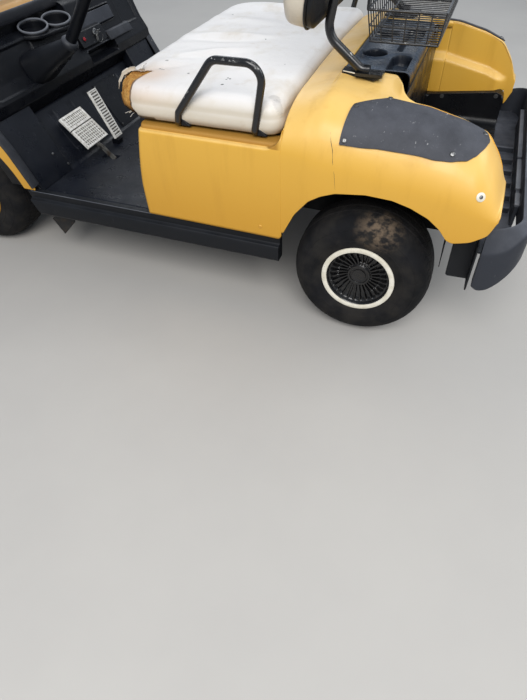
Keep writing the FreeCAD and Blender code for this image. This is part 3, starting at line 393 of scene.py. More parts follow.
def dirtyVinyl(marks=()):
    # coated seat cloth, once white: white on top, beige on the sides as painted shade, beige grime and brown where
    # hands and legs rub it, fine leather grain and soft gloss
    material, tree, shader, place = startMaterial("dirtyVinyl", 0.5, 1.5)
    white, shadeBeige, brown = linear("e9e6e4"), linear("cfc6b6"), linear("a98f6c")
    # white on top, beige on the sides: painted shade on the sides
    side = bySlope(tree, 2, 0.85, 0.2)
    colour = coated(tree, side, white, shadeBeige)
    grime = blotches(tree, place, 120, 0.6, 0.13, (1, 0.6, 1), shift=8)
    colour = coated(tree, times(tree, grime, 0.4), colour, linear("c9bca4"))
    worn = times(tree, blotches(tree, place, 38, 0.68, 0.1, shift=3), 0.22)
    colour = coated(tree, worn, colour, brown)
    smudges = times(tree, blotches(tree, place, 16, 0.76, 0.05, shift=11), 0.3)
    colour = coated(tree, smudges, colour, linear("5b5348"))
    # the torn mark is painted shadow: near-black in the gap under the torn cover's lifted edge
    torn = addNode(tree, "ShaderNodeAttribute", {}, attribute_name="torn").outputs["Fac"]
    colour = coated(tree, torn, colour, linear("241c16"))
    # darker along the bottom of the cover
    bottomDarkening = addNode(tree, "ShaderNodeAttribute", {}, attribute_name="bottomDarkening").outputs["Fac"]
    colour = coated(tree, times(tree, bottomDarkening, 0.35), colour, linear("6d6250"))
    warm = addNode(tree, "ShaderNodeAttribute", {}, attribute_name="warm").outputs["Fac"]
    colour = coated(tree, times(tree, warm, 0.55), colour, linear("d3ad88"))
    for x, y, size, share in marks:
        colour = coated(tree, spot(tree, place, (x, y), size, share), colour, linear("15130f"))
    rough = ranged(tree, grime, 0.42, 0.6)
    finishMaterial(tree, shader, colour, rough, blotches(tree, place, 26, 0.5, 0.4, (1, 1, 1), 3, 5), 0.0016, 0.35,
                   blotches(tree, place, 1.8, 0.5, 0.3, detail=3), 0.0003, 0.4)
    return material


def agedFoam():
    # open-cell cushion foam, darkened to orange brown in the light
    material, tree, shader, place = startMaterial("agedFoam", 0.95, 1.4, specular=0.15)
    colour = coated(tree, blotches(tree, place, 14, 0.5, 0.2), linear("b2793a"), linear("d3a35c"))
    colour = coated(tree, blotches(tree, place, 6, 0.64, 0.06, shift=4), colour, linear("6b3f1c"))
    # darker towards the bottom; at the top, painted shadow under the torn cover's lifted edge
    colour = coated(tree, byPlace(tree, place, 2, 0.690, 0.664), colour, linear("2e1d10"))
    colour = coated(tree, byPlace(tree, place, 2, 0.735, 0.750), colour, linear("3a2412"))
    finishMaterial(tree, shader, colour, None, blotches(tree, place, 3, 0.5, 0.3, detail=4), 0.0018, 0.9)
    return material


def scratchedEnamel():
    # black enamel on steel tube, glossy, rubbed through to pale metal in short scratches
    material, tree, shader, place = startMaterial("scratchedEnamel", 0.26, 1.5, coat=0.3)
    scratches = times(tree, blotches(tree, place, 7, 0.62, 0.025, (0.45, 1, 0.6), shift=2),
                      blotches(tree, place, 40, 0.50, 0.06, shift=5))
    scratches = times(tree, scratches, bySlope(tree, 2, 0.05, 0.6))
    colour = coated(tree, scratches, linear("101114"), linear("a9a8a4"))
    rough = ranged(tree, blotches(tree, place, 30, 0.5, 0.2), 0.2, 0.4)
    finishMaterial(tree, shader, colour, rough, scratches, 0.0004, -0.6)
    return material


def dustyCasting(name="dustyCasting", colourHex="4a4640", rustHex="6b5238", metallic=0.3):
    # bare iron and steel under the body: dull, dusty, brown at the edges
    material, tree, shader, place = startMaterial(name, 0.7, metallic=metallic)
    colour = coated(tree, blotches(tree, place, 40, 0.5, 0.2), linear(colourHex), linear("2c2a28"))
    colour = coated(tree, times(tree, blotches(tree, place, 25, 0.58, 0.1, shift=4), 0.6), colour, linear(rustHex))
    finishMaterial(tree, shader, colour, None, blotches(tree, place, 4, 0.5, 0.3, detail=5), 0.0008, 0.6)
    return material


def tyreRubber():
    # worn tyre: near-black rubber gone grey with road dust, brown earth on the tread
    material, tree, shader, place = startMaterial("tyreRubber", 0.8, 1.5, specular=0.2)
    colour = coated(tree, blotches(tree, place, 55, 0.5, 0.22, detail=6), linear("0d0e11"), linear("17171a"))
    dust = times(tree, blotches(tree, place, 90, 0.52, 0.16, shift=3), 0.5)
    colour = coated(tree, dust, colour, linear("33302c"))
    # dried mud on the shoulder of the near rear tyre
    away = addNode(tree, "ShaderNodeVectorMath", {0: place, 1: (-0.800, 0.585, 0.425)}, operation="DISTANCE").outputs["Value"]
    mud = addNode(tree, "ShaderNodeMapRange", {"Value": away, 1: 0.085, 2: 0.02}).outputs[0]
    mud = times(tree, mud, blotches(tree, place, 22, 0.5, 0.12, shift=12))
    colour = coated(tree, mud, colour, linear("6b5c4c"))
    finishMaterial(tree, shader, colour, None, blotches(tree, place, 5, 0.5, 0.3, detail=5), 0.0005, 0.5)
    return material


def glossBlackCover():
    # injection moulded wheel cover, glossy black with a film of dust
    material, tree, shader, place = startMaterial("glossBlackCover", 0.18, 1.5, coat=0.25)
    colour = coated(tree, times(tree, blotches(tree, place, 50, 0.5, 0.2), 0.3), linear("08080a"), linear("242322"))
    rough = ranged(tree, blotches(tree, place, 20, 0.5, 0.25, shift=3), 0.16, 0.38)
    finishMaterial(tree, shader, colour, rough, blotches(tree, place, 3, 0.5, 0.4), 0.0001, 0.3)
    return material


def creamTrim():
    # painted trim ring, cream white with fine chips and brake dust
    material, tree, shader, place = startMaterial("creamTrim", 0.38, 1.5, coat=0.1)
    colour = coated(tree, blotches(tree, place, 30, 0.52, 0.18), linear("e9e4d6"), linear("d6cfbc"))
    colour = coated(tree, blotches(tree, place, 7, 0.68, 0.03, shift=4), colour, linear("6a6459"))
    finishMaterial(tree, shader, colour, None, blotches(tree, place, 2, 0.5, 0.4), 0.0001, 0.3)
    return material


def zincScrew():
    # bright zinc plate on bolts and screws, a little tarnished
    material, tree, shader, place = startMaterial("zincScrew", 0.34, metallic=0.9)
    colour = coated(tree, blotches(tree, place, 6, 0.52, 0.2), linear("808182"), linear("62615f"))
    finishMaterial(tree, shader, colour, None, blotches(tree, place, 1.5, 0.5, 0.4), 0.0001, 0.4)
    return material


def wornPedalPad():
    # pale rubber pad, ribs rubbed cleaner than the grooves between them
    material, tree, shader, place = startMaterial("wornPedalPad", 0.6, 1.5)
    colour = coated(tree, blotches(tree, place, 18, 0.5, 0.2), linear("efeeea"), linear("d6d4ce"))
    colour = coated(tree, times(tree, blotches(tree, place, 9, 0.6, 0.08, shift=3), 0.7), colour, linear("8d8675"))
    groove = addNode(tree, "ShaderNodeAttribute", {}, attribute_name="groove").outputs["Fac"]
    colour = coated(tree, times(tree, groove, 0.85), colour, linear("3a342c"))
    finishMaterial(tree, shader, colour, None, blotches(tree, place, 1.5, 0.5, 0.4), 0.0002, 0.4)
    return material


def roofPlastic():
    # off-white moulded roof with a fine texture, dust and water marks on top
    material, tree, shader, place = startMaterial("roofPlastic", 0.5, 1.48)
    colour = coated(tree, blotches(tree, place, 200, 0.5, 0.25), linear("e9e5da"), linear("ddd7c8"))
    marks = times(tree, bySlope(tree, 2, 0.4, 0.95), blotches(tree, place, 60, 0.6, 0.1, shift=6))
    colour = coated(tree, times(tree, marks, 0.5), colour, linear("b5ac98"))
    finishMaterial(tree, shader, colour, None, blotches(tree, place, 2, 0.5, 0.3), 0.0003, 0.4)
    return material


yellow = fadedYellowPlastic()
# the slight blue in these black plastics is painted sky reflection, strongest in the tray's bluish grey upper faces and
# in the floor mat
black = grainedBlackPlastic("grainedBlackPlastic", "15171b", "44454a", 0.42, 0.25)
shinyBlack = grainedBlackPlastic("trayBlackPlastic", "191d25", "6a7a8e", 0.24, 0.5)
linerBlack = grainedBlackPlastic("linerPlastic", "0c0d10", "2a2c30", 0.3, 0.15)
bumperBlack = grainedBlackPlastic("bumperPlastic", "30333a", "70737b", 0.5, 0.6)
floorRubber = grainedBlackPlastic("floorMatRubber", "11141b", "2d313b", 0.33, 0.35)
guardPlastic = scuffedGuardPlastic()
# small burns and smudges in the seat: along, across, radius, how dark
vinyl = dirtyVinyl([(-0.113, 0.393, 0.0035, 1), (-0.250, 0.398, 0.0030, 1), (-0.259, 0.404, 0.0034, 1),
                    (-0.250, 0.411, 0.0028, 1), (-0.256, 0.457, 0.0044, 1), (-0.234, 0.022, 0.0026, 0.9),
                    (0.006, 0.311, 0.0055, 0.5), (-0.004, 0.378, 0.0035, 0.95), (-0.012, 0.380, 0.0030, 0.95),
                    (-0.020, 0.383, 0.0024, 0.9), (-0.440, 0.505, 0.016, 0.22), (-0.455, 0.522, 0.014, 0.20),
                    (-0.38, 0.24, 0.0025, 0.6), (0.02, -0.28, 0.004, 0.8)])
foam = agedFoam()
enamel = scratchedEnamel()
casting = dustyCasting()
chassisPaint = dustyCasting("chassisPaint", "1b1b1d", "3c3024", 0.0)
rubber = tyreRubber()
coverBlack = glossBlackCover()
trim = creamTrim()
zinc = zincScrew()
padRubber = wornPedalPad()
# the blue tint in these dark plastics is painted sky reflection; the edging's pale bluish upper faces are partly dust,
# partly painted sky highlight
dashPlastic = grainedBlackPlastic("dashPlastic", "0b0d12", "30333b", 0.34, 0.22)
rockerBlack = grainedBlackPlastic("rockerPlastic", "121418", "383b41", 0.45, 0.3)
edgeGrey = grainedBlackPlastic("edgingRubber", "24262b", "6a6d75", 0.45, 0.7)
archBlack = grainedBlackPlastic("archLining", "0d0f12", "2a2b2e", 0.7, 0.25)
paleEdge = grainedBlackPlastic("paleEdging", "55585f", "8b8d92", 0.5, 0.6)
wheelGrip = grainedBlackPlastic("steeringGrip", "131316", "2f3034", 0.5, 0.2)
wornSteel = dustyCasting("wornSteel", "8d8c88", "5b4a3a", 0.8)
redLamp = grainedBlackPlastic("redLamp", "8e1420", "a83a40", 0.2, 0.2)
roofWhite = roofPlastic()
print("materials made")


# Places read from the frame

rearTyreLow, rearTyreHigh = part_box("tyre_rl")
frontTyreLow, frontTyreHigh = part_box("tyre_fl")
bodyLow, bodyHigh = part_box("rear_body")
rearAxleX = (rearTyreLow.x + rearTyreHigh.x) / 2
frontAxleX = (frontTyreLow.x + frontTyreHigh.x) / 2
axleZ = (rearTyreLow.z + rearTyreHigh.z) / 2
halfWidth = bodyHigh.y
deckZ = bodyHigh.z
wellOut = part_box("well_liner")[1].y
trayLow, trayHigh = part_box("bag_tray")
cartLow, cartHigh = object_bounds()


# Rear body

bodyForm = {
    "bottom": bodyLow.z + 0.003, "front": bodyHigh.x, "tail": bodyLow.x, "wall": 0.0045,
    "shoulder": 0.628, "cornerRound": 0.055, "recessBack": -0.487, "setIn": 0.015, "ledge": 0.640,
    "ledgeIn": 0.083, "frontRound": 0.016, "crown": 0.010,
    # from the rear axle, crest below the deck, crest in from the side, side's round below the deck,
    # side in from the widest point, fullness of the round
    "sections": np.array([
        (0.767, 0.052, 0.150, 0.150, 0.012, 2.2), (0.330, 0.040, 0.240, 0.160, 0.006, 2.5),
        (0.264, 0.035, 0.260, 0.165, 0.004, 2.6), (0.203, 0.020, 0.205, 0.172, 0.001, 2.4),
        (0.159, 0.008, 0.176, 0.187, 0.000, 2.2), (0.016, 0.028, 0.178, 0.202, 0.000, 2.1),
        (-0.109, 0.039, 0.174, 0.217, 0.000, 2.1), (-0.209, 0.064, 0.174, 0.232, 0.000, 2.1),
        (-0.279, 0.092, 0.178, 0.252, 0.002, 2.1), (-0.324, 0.150, 0.178, 0.267, 0.008, 2.1),
        (-0.359, 0.226, 0.168, 0.272, 0.020, 2.1)])[::-1],
    # the wheel arch and the fender's lower edge: from the rear axle, height
    "lowerEdge": np.array([
        (0.767, 0.328), (0.270, 0.328), (0.220, 0.432), (0.176, 0.487), (0.140, 0.510), (0.096, 0.527),
        (0.008, 0.538), (-0.069, 0.534), (-0.122, 0.520), (-0.176, 0.496), (-0.212, 0.468), (-0.238, 0.436),
        (-0.255, 0.430), (-0.301, 0.441), (-0.343, 0.466), (-0.359, 0.512)])[::-1],
}


def bodySection(x):
    # the section table at any place along the body, as columns
    table = bodyForm["sections"]
    from_axle = np.asarray(x) - rearAxleX
    drop, crestIn, roundDrop, sideIn, full = [eased(from_axle, table[:, 0], table[:, i], 0.012) for i in range(1, 6)]
    return {"crestZ": deckZ - drop, "crestY": halfWidth - crestIn, "roundZ": deckZ - roundDrop,
            "out": halfWidth - sideIn, "full": full}


def lowerEdge(x):
    table = bodyForm["lowerEdge"]
    return eased(np.asarray(x) - rearAxleX, table[:, 0], table[:, 1], 0.005)


def sideY(x, z):
    # side of the body: slightly crowned, then rounding in towards the crest
    form = bodySection(x)
    low = np.clip((form["roundZ"] - z) / 0.3, 0, 1.2)
    rise = np.clip((z - form["roundZ"]) / (form["crestZ"] - form["roundZ"]), 0, 1)
    reach = form["out"] - form["crestY"]
    arc = (1 - rise ** form["full"]) ** (1 / form["full"])
    return form["crestY"] + reach * arc - bodyForm["crown"] * low ** 2


def frontLean(z):
    # how far the front edge leans back at a height
    return 0.031 * np.clip((z - 0.42) / 0.217, 0, 1) ** 1.5


def outerSkin(x, sideRows, arcRows):
    # columns up the side and round to the crest, at every place x along the body
    form = bodySection(x)
    low = lowerEdge(x)
    roundZ = np.maximum(form["roundZ"], low + 0.004)
    crestZ = np.maximum(form["crestZ"], roundZ + 0.004)
    share = np.linspace(0, 1, sideRows)[None, :]
    z = low[:, None] + (roundZ - low)[:, None] * share
    side = np.stack([np.broadcast_to(x[:, None], z.shape), sideY(x[:, None], np.minimum(z, form["roundZ"][:, None])), z], -1)
    turn = np.linspace(0, np.pi / 2, arcRows + 1)[None, 1:]
    power = (2 / form["full"])[:, None]
    y = form["crestY"][:, None] + (form["out"] - form["crestY"])[:, None] * np.cos(turn).clip(0) ** power
    z = roundZ[:, None] + (crestZ - roundZ)[:, None] * np.sin(turn) ** power
    arc = np.stack([np.broadcast_to(x[:, None], z.shape), y, z], -1)
    return np.concatenate([side, arc], 1)


def makeRearBody():
    sideRows, arcRows = 40, 30
    # behind the seat: over the deck to the middle
    deckX = np.linspace(trayHigh.x + 0.001, bodyForm["recessBack"] - 0.007, 26)
    skin = outerSkin(deckX, sideRows, arcRows)
    share = np.linspace(0, 1, 26)[None, 1:]
    crest = skin[:, -1]
    y = crest[:, 1:2] * (1 - share)
    rise = 0.008 * (1 - (y / crest[:, 1:2]) ** 2)
    deck = np.stack([np.broadcast_to(deckX[:, None], y.shape), y, crest[:, 2:] + rise], -1)
    over = np.concatenate([skin, deck], 1)
    # ridge behind the seat rounds over and drops to the ledge
    ridge = over[-1]
    turn = np.linspace(0, np.pi / 2, 6)[1:, None]
    weight = smoothStep(ridge[None, :, 2], bodyForm["ledge"], bodyForm["ledge"] + 0.03)
    rounded = np.stack([ridge[None, :, 0] + 0.007 * np.sin(turn) + 0 * weight,
                        ridge[None, :, 1] + 0 * turn,
                        ridge[None, :, 2] - 0.007 * (1 - np.cos(turn)) * weight], -1)
    down = np.linspace(0, 1, 8)[1:, None]
    last = rounded[-1]
    fall = last[None, :, 2] + (np.minimum(last[None, :, 2], bodyForm["ledge"]) - last[None, :, 2]) * down
    wallPoints = np.stack([last[None, :, 0] + 0 * fall, last[None, :, 1] - 0.004 * down, fall], -1)
    parts = [gridPart(np.concatenate([over, rounded, wallPoints], 0), flip=True)]
    # beside the tray: the deck ends at the tray's opening with a turned-down lip
    trayX = np.linspace(-0.832, trayHigh.x + 0.001, 60)
    skin = outerSkin(trayX, sideRows, arcRows)
    crest = skin[:, -1]
    inner = eased(trayX, [-0.832, -0.80, -0.780, -0.768, -0.750, -0.742, -0.58],
                  [0.423, 0.408, 0.385, 0.344, 0.300, 0.286, trayHigh.y + 0.002], 0.006)[:, None]
    share = np.linspace(0, 1, 12)[None, 1:]
    y = crest[:, 1:2] + (np.minimum(inner + 0.005, crest[:, 1:2]) - crest[:, 1:2]) * share
    rise = np.minimum(0.6 * (deckZ - 0.001 - crest[:, 2:]), 0.35 * (crest[:, 1:2] - y[:, -1:]))
    z = crest[:, 2:] + rise * smoothStep(share, 0, 1)
    deck = np.stack([np.broadcast_to(trayX[:, None], y.shape), y, z], -1)
    turn = np.linspace(0, np.pi / 2, 5)[None, 1:]
    lipY = y[:, -1:] - 0.005 * np.sin(turn)
    lipZ = z[:, -1:] - 0.005 * (1 - np.cos(turn))
    lip = np.stack([np.broadcast_to(trayX[:, None], lipY.shape), lipY, lipZ], -1)
    drop = lip[:, -1:] - np.array([0, 0, 0.014])
    parts.append(gridPart(np.concatenate([skin, deck, lip, drop], 1), flip=True))
    # beside the well: the crest turns down into the inner wall, which has a pressed ridge
    wellX = np.linspace(bodyForm["tail"], -0.832, 100)
    skin = outerSkin(wellX, sideRows, arcRows)
    crest = skin[:, -1]
    edge = wellOut + 0.004
    proud = 0.026 * smoothStep(wellX, -1.082, -1.035)[:, None]
    turn = np.linspace(0, np.pi / 2, 7)[None, 1:]
    reach = np.minimum(crest[:, 1:2] - edge, 0.02).clip(0.002)
    roundY = edge + reach * (1 - np.sin(turn))
    roundZ = crest[:, 2:] - 0.008 * (1 - np.cos(turn))
    rounded = np.stack([np.broadcast_to(wellX[:, None], roundY.shape), roundY, roundZ], -1)
    low = np.where(wellX < -1.081, lowerEdge(wellX) + 0.001, np.interp(wellX, [-1.08, -0.85], [0.515, 0.490]))
    low = np.minimum(low, rounded[:, -1, 2] - 0.004)
    share = np.linspace(0, 1, 34)[None, 1:]
    z = rounded[:, -1:, 2] + (low[:, None] - rounded[:, -1:, 2]) * share
    ridgeZ = np.interp(wellX, [-1.06, -0.995, -0.818, -0.77], [0.560, 0.586, 0.625, 0.620])[:, None]
    inside = np.stack([np.broadcast_to(wellX[:, None], z.shape), edge - proud * smoothStep(ridgeZ - z, -0.010, 0.014), z], -1)
    parts.append(gridPart(np.concatenate([skin, rounded, inside], 1), flip=True))
    # the same wall runs on under the deck's corner
    cornerX, cornerZ = np.meshgrid(np.linspace(-0.833, trayLow.x + 0.002, 8), np.linspace(0.735, 0.488, 30), indexing="ij")
    lower = 0.026 * smoothStep(0.623 - cornerZ, -0.010, 0.014)
    parts.append(gridPart(np.stack([cornerX, edge - lower, cornerZ], -1), flip=True))
    # ahead of the ridge: side panel with a rounded shoulder, a set-in band and the seat's ledge
    corner = bodyForm["frontRound"]
    panelX = np.linspace(bodyForm["recessBack"], bodyForm["front"] - corner, 120)
    turn = np.linspace(0, np.pi / 2, 9)[1:]
    flange = np.linspace(0, 1, 6)[1:]
    x = np.concatenate([panelX, bodyForm["front"] - corner + corner * np.sin(turn), np.full(5, bodyForm["front"])])
    kickIn = 0.068
    inset = np.concatenate([np.zeros(120), corner * (1 - np.cos(turn)), corner + (kickIn - corner) * flange])
    radius = bodyForm["cornerRound"]
    fromCentre = np.clip(bodyForm["recessBack"] + radius - x, 0, radius)
    top = bodyForm["shoulder"] + radius - np.sqrt(radius ** 2 - fromCentre ** 2)
    low = lowerEdge(x)
    share = np.linspace(0, 1, sideRows)[None, :]
    edge = 0.006
    z = low[:, None] + (top - edge - low)[:, None] * share
    side = np.stack([np.broadcast_to(x[:, None], z.shape), sideY(x[:, None], z), z], -1)
    turn = np.linspace(0, np.pi / 2, 6)[None, 1:]
    shoulderY = side[:, -1:, 1] - edge * (1 - np.cos(turn))
    shoulderZ = (top - edge)[:, None] + edge * np.sin(turn)
    shoulder = np.stack([np.broadcast_to(x[:, None], shoulderY.shape), shoulderY, shoulderZ], -1)
    bandY = shoulder[:, -1:, 1] - np.array([[0.004, bodyForm["setIn"] - edge, bodyForm["setIn"] - edge + 0.001,
                                             bodyForm["setIn"] - edge + 0.004, bodyForm["setIn"] - edge + 0.009]])
    bandZ = np.concatenate([np.array([[0.0005, 0.001]]) + top[:, None],
                            np.array([[-0.004, -0.001, 0.0]]) + bodyForm["ledge"] + 0 * top[:, None]], 1)
    band = np.stack([np.broadcast_to(x[:, None], bandY.shape), bandY, bandZ], -1)
    ledgeY = np.linspace(0, 1, 6)[None, 1:] * (halfWidth - bodyForm["ledgeIn"] - band[:, -1:, 1]) + band[:, -1:, 1]
    ledge = np.stack([np.broadcast_to(x[:, None], ledgeY.shape), ledgeY, bodyForm["ledge"] + 0 * ledgeY], -1)
    panel = np.concatenate([side, shoulder, band, ledge], 1)
    panel[..., 1] -= inset[:, None]
    lean = smoothStep(x, -0.25, bodyForm["front"] - corner)[:, None]
    panel[..., 0] -= frontLean(panel[..., 2]) * lean
    parts.append(gridPart(panel, flip=True))
    return makePiece("rearBodySkin", bothSides(parts), yellow, "cart", ["rear_body"], angle=50,
                     recalculate=False, wall=bodyForm["wall"])


def onSide(x, z):
    # point of the body's side and its normal
    point = np.array([x, float(sideY(x, z)), z])
    ahead = np.array([x + 0.004, float(sideY(x + 0.004, z)), z])
    above = np.array([x, float(sideY(x, z + 0.004)), z + 0.004])
    normal = unit(np.cross(above - point, ahead - point))
    return point, normal if normal[1] > 0 else -normal


def makeBodyBits():
    # pale washer behind the scuff plate, a screw in the panel, and a hairline crack in the fender
    place, normal = onSide(-1.046, 0.575)
    disc = [(0.0125, -0.002), (0.0125, 0.0012), (0.0112, 0.0022), (0.0004, 0.0024)]
    makePiece("paleWasher", [turned(lathePart(disc, (0, 0, 0), 28, "z"), place, frameFor(normal))], trim, "cart")
    makePiece("washerRivet", [screwPart(place + normal * 0.0024, normal, 0.0052)], zinc, "cart")
    place, normal = onSide(-0.415, 0.363)
    makePiece("panelScrew", bothSides([screwPart(place, normal, 0.0058)]), yellow, "cart")
    line = np.array([(-0.622, 0.690), (-0.629, 0.668), (-0.637, 0.648), (-0.641, 0.620), (-0.649, 0.585), (-0.655, 0.540)])
    crack = [onSide(x, z)[0] for x, z in line]
    makePiece("hairlineCrack", [tubePart(np.array(crack), [0.0002, 0.0008, 0.0008, 0.0006, 0.0005, 0.0002], 6)], bumperBlack,
              "cart")


def makeWheelHouses():
    # dark linings over the wheels: a strip that follows the arch and a plate at its inner end; partly a real liner,
    # they also stand in for the deep shade inside the wheel houses
    arch = bodyForm["lowerEdge"]
    arch = arch[(arch[:, 0] < 0.28) & (arch[:, 0] > -0.24)] + (rearAxleX, 0.002)
    fine = np.linspace(arch[0, 0], arch[-1, 0], 60)
    fineZ = np.interp(fine, arch[:, 0], arch[:, 1])
    parts = []
    for picked, innerY, footZ in ((fine >= -0.780, 0.374, 0.330), (fine < -0.778, 0.4268, 0.472)):
        x, z = fine[picked], fineZ[picked]
        share = np.linspace(0, 1, 8)[None, :]
        outY = sideY(x, z) - 0.0056
        y = outY[:, None] + (innerY - outY[:, None]) * share
        parts.append(gridPart(np.stack([x[:, None] + 0 * y, y, z[:, None] + 0 * y], -1)))
        high = z > footZ + 0.002
        outline = [(x[high][0], footZ)] + list(zip(x[high], z[high])) + [(x[high][-1], footZ)]
        parts.append(prismPart(outline, innerY, innerY + 0.0015))
    parts.append(boxPart((fine[0] - 0.001, 0.4268, 0.332), (fine[0] + 0.001, 0.578, fineZ[0])))
    parts.append(prismPart([(-0.990, 0.332), (-0.990, 0.437), (-0.963, 0.468), (-0.790, 0.468), (-0.790, 0.332)],
                           0.3735, 0.3750))
    radius, footZ = cowlForm["archRound"] - 0.002, 0.332
    start = math.asin((footZ - cowlForm["archZ"]) / radius)
    turn = np.linspace(start, math.pi - start, 60)
    x, z = cowlForm["archX"] + radius * np.cos(turn), cowlForm["archZ"] + radius * np.sin(turn)
    y = np.linspace(0.571, 0.199, 8)[None, :]
    top, out, corner = cowlSection(np.maximum(x, 0.722))
    y = np.minimum(y, (cowlSide(x, z, top, out, corner) - 0.0056)[:, None])
    parts.append(gridPart(np.stack([x[:, None] + 0 * y, y, z[:, None] + 0 * y], -1)))
    parts.append(prismPart(list(zip(x, z)), 0.1985, 0.200))
    makePiece("wheelArchLining", bothSides(parts), archBlack, "cart", angle=40, wall=0.0012)


makeRearBody()
print("rear body made")


# Scuff plates on the fenders' shoulders

guardForm = {
    "thick": 0.004, "rows": 90, "columns": 30,
    # place along the cart, inner edge, outer edge, from the middle of the cart
    "outline": np.array([(-0.652, 0.577, 0.580), (-0.657, 0.530, 0.580), (-0.664, 0.497, 0.5795), (-0.708, 0.465, 0.577),
                         (-0.752, 0.434, 0.573), (-0.832, 0.440, 0.5705), (-0.907, 0.441, 0.568), (-0.951, 0.439, 0.562),
                         (-0.989, 0.435, 0.548), (-1.010, 0.434, 0.527), (-1.024, 0.441, 0.500), (-1.031, 0.462, 0.468)])[::-1],
    "screws": [(-0.673, 0.500), (-0.753, 0.440), (-1.017, 0.452), (-0.948, 0.549), (-0.664, 0.574)],
    "screwSize": 0.0072,
}


def onFender(x, y, lift=0.0):
    # point of the fender's round at a place in plan; the lift has no effect
    form = bodySection(x)
    share = np.clip((y - form["crestY"]) / (form["out"] - form["crestY"]), 0, 1)
    z = form["roundZ"] + (form["crestZ"] - form["roundZ"]) * (1 - share ** form["full"]) ** (1 / form["full"])
    return np.stack([x, y, z + lift * 0], -1)


def surfaceNormals(points):
    # from the differences of neighbours on a grid
    along, across = np.gradient(points, axis=0), np.gradient(points, axis=1)
    return unit(np.cross(along, across))


def makeGuards():
    table = guardForm["outline"]
    share = np.linspace(0, 1, guardForm["rows"])
    share = (1 - np.cos(np.pi * share)) / 2
    x = table[0, 0] + (table[-1, 0] - table[0, 0]) * share
    inner = eased(x, table[:, 0], table[:, 1], 0.003)
    outer = eased(x, table[:, 0], table[:, 2], 0.003)
    inner = np.minimum(inner, outer - 0.001)
    form = bodySection(x)
    reach = form["out"] - form["crestY"]
    full = form["full"]

    def turnAt(y):
        return np.arccos(np.clip((y - form["crestY"]) / reach, 0, 1) ** (full / 2))

    first, last = turnAt(outer), turnAt(np.maximum(inner, form["crestY"]))
    turn = first[:, None] + (last - first)[:, None] * np.linspace(0, 1, guardForm["columns"])[None, :]
    power = (2 / full)[:, None]
    y = form["crestY"][:, None] + reach[:, None] * np.cos(turn).clip(0) ** power
    z = form["roundZ"][:, None] + (form["crestZ"] - form["roundZ"])[:, None] * np.sin(turn) ** power
    points = np.stack([np.broadcast_to(x[:, None], y.shape), y, z], -1)
    normals = surfaceNormals(points)
    if normals[45, 15, 2] < 0:
        normals = -normals
    points = points + normals * 0.0012
    parts = bothSides([gridPart(points, flip=True)])
    for name, picked in (("Left", parts[:1]), ("Right", parts[1:])):
        makePiece("scuffPlate" + name, picked, guardPlastic, "cart", ["guard_" + name.lower()],
                  recalculate=False, wall=-guardForm["thick"], bevel=0.0012)
    screws = []
    for sx, sy in guardForm["screws"]:
        spot = onFender(np.array([sx]), np.array([sy]))[0]
        beside = onFender(np.array([sx + 0.004, sx]), np.array([sy, sy - 0.004]))
        normal = unit(np.cross(beside[0] - spot, beside[1] - spot))
        normal = normal if normal[2] > 0 else -normal
        screws.append(screwPart(spot + normal * 0.0056, normal, guardForm["screwSize"]))
    makePiece("scuffPlateScrews", bothSides(screws), zinc, "cart")


def frameFor(normal):
    # three axes at right angles, the last along the normal
    normal = unit(np.asarray(normal, float))
    helper = np.array([1.0, 0, 0]) if abs(normal[0]) < 0.8 else np.array([0, 1.0, 0])
    first = unit(np.cross(helper, normal))
    return np.column_stack([first, np.cross(normal, first), normal])


def screwPart(place, normal, radius, slot=0):
    # domed screw head with a shallow recess, sunk a little into what it holds
    profile = [(radius, -0.002), (radius, 0.0006), (radius * 0.86, 0.0021), (radius * 0.5, 0.0029),
               (radius * 0.36, 0.0029), (radius * 0.30, 0.0016), (0.0003, 0.0014)]
    return turned(lathePart(profile, (0, 0, 0), 18, "z", slot=slot), place, frameFor(normal))


def boltPart(place, normal, radius, slot=0):
    # washer under a hexagonal head
    angle = np.arange(6) * np.pi / 3
    hexagon = np.column_stack([np.cos(angle), np.sin(angle)]) * radius
    washer = lathePart([(radius * 1.5, -0.001), (radius * 1.5, 0.001), (0.0005, 0.0012)], (0, 0, 0), 20, "z", slot=slot)
    head = prismPart(hexagon, 0.0008, radius * 0.85, "z", slot=slot)
    turn = frameFor(normal)
    return [turned(washer, place, turn), turned(head, place, turn)]


# Seat

seatForm = {
    "back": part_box("seat_cushion")[0].x - 0.013, "front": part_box("seat_cushion")[1].x - 0.002, "out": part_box("seat_cushion")[1].y,
    "bottom": 0.6505, "top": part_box("seat_cushion")[1].z - 0.006, "edgeRound": 0.044, "crown": 0.009,
    "rearRound": 0.045, "frontRound": 0.150, "around": 460, "sideRows": 14, "roundRows": 13, "topRows": 50,
    # the cover is torn away at the near front corner, ahead of the first place and outside the second
    "tear": (0.020, 0.424), "skin": 0.0016,
    # folds: middle along and across, half length, half width, height, turn in degrees
    "folds": [(-0.09, 0.008, 0.15, 0.024, 0.0100, 7), (-0.10, 0.062, 0.13, 0.024, -0.0070, 10),
              (-0.11, 0.180, 0.13, 0.022, 0.0085, 27), (-0.10, 0.222, 0.12, 0.020, -0.0040, 27),
              (-0.06, -0.22, 0.18, 0.045, 0.006, -6), (-0.20, -0.42, 0.16, 0.05, -0.006, 10),
              (0.01, 0.30, 0.07, 0.030, 0.003, 60), (-0.02, 0.36, 0.06, 0.022, -0.003, 40)],
}


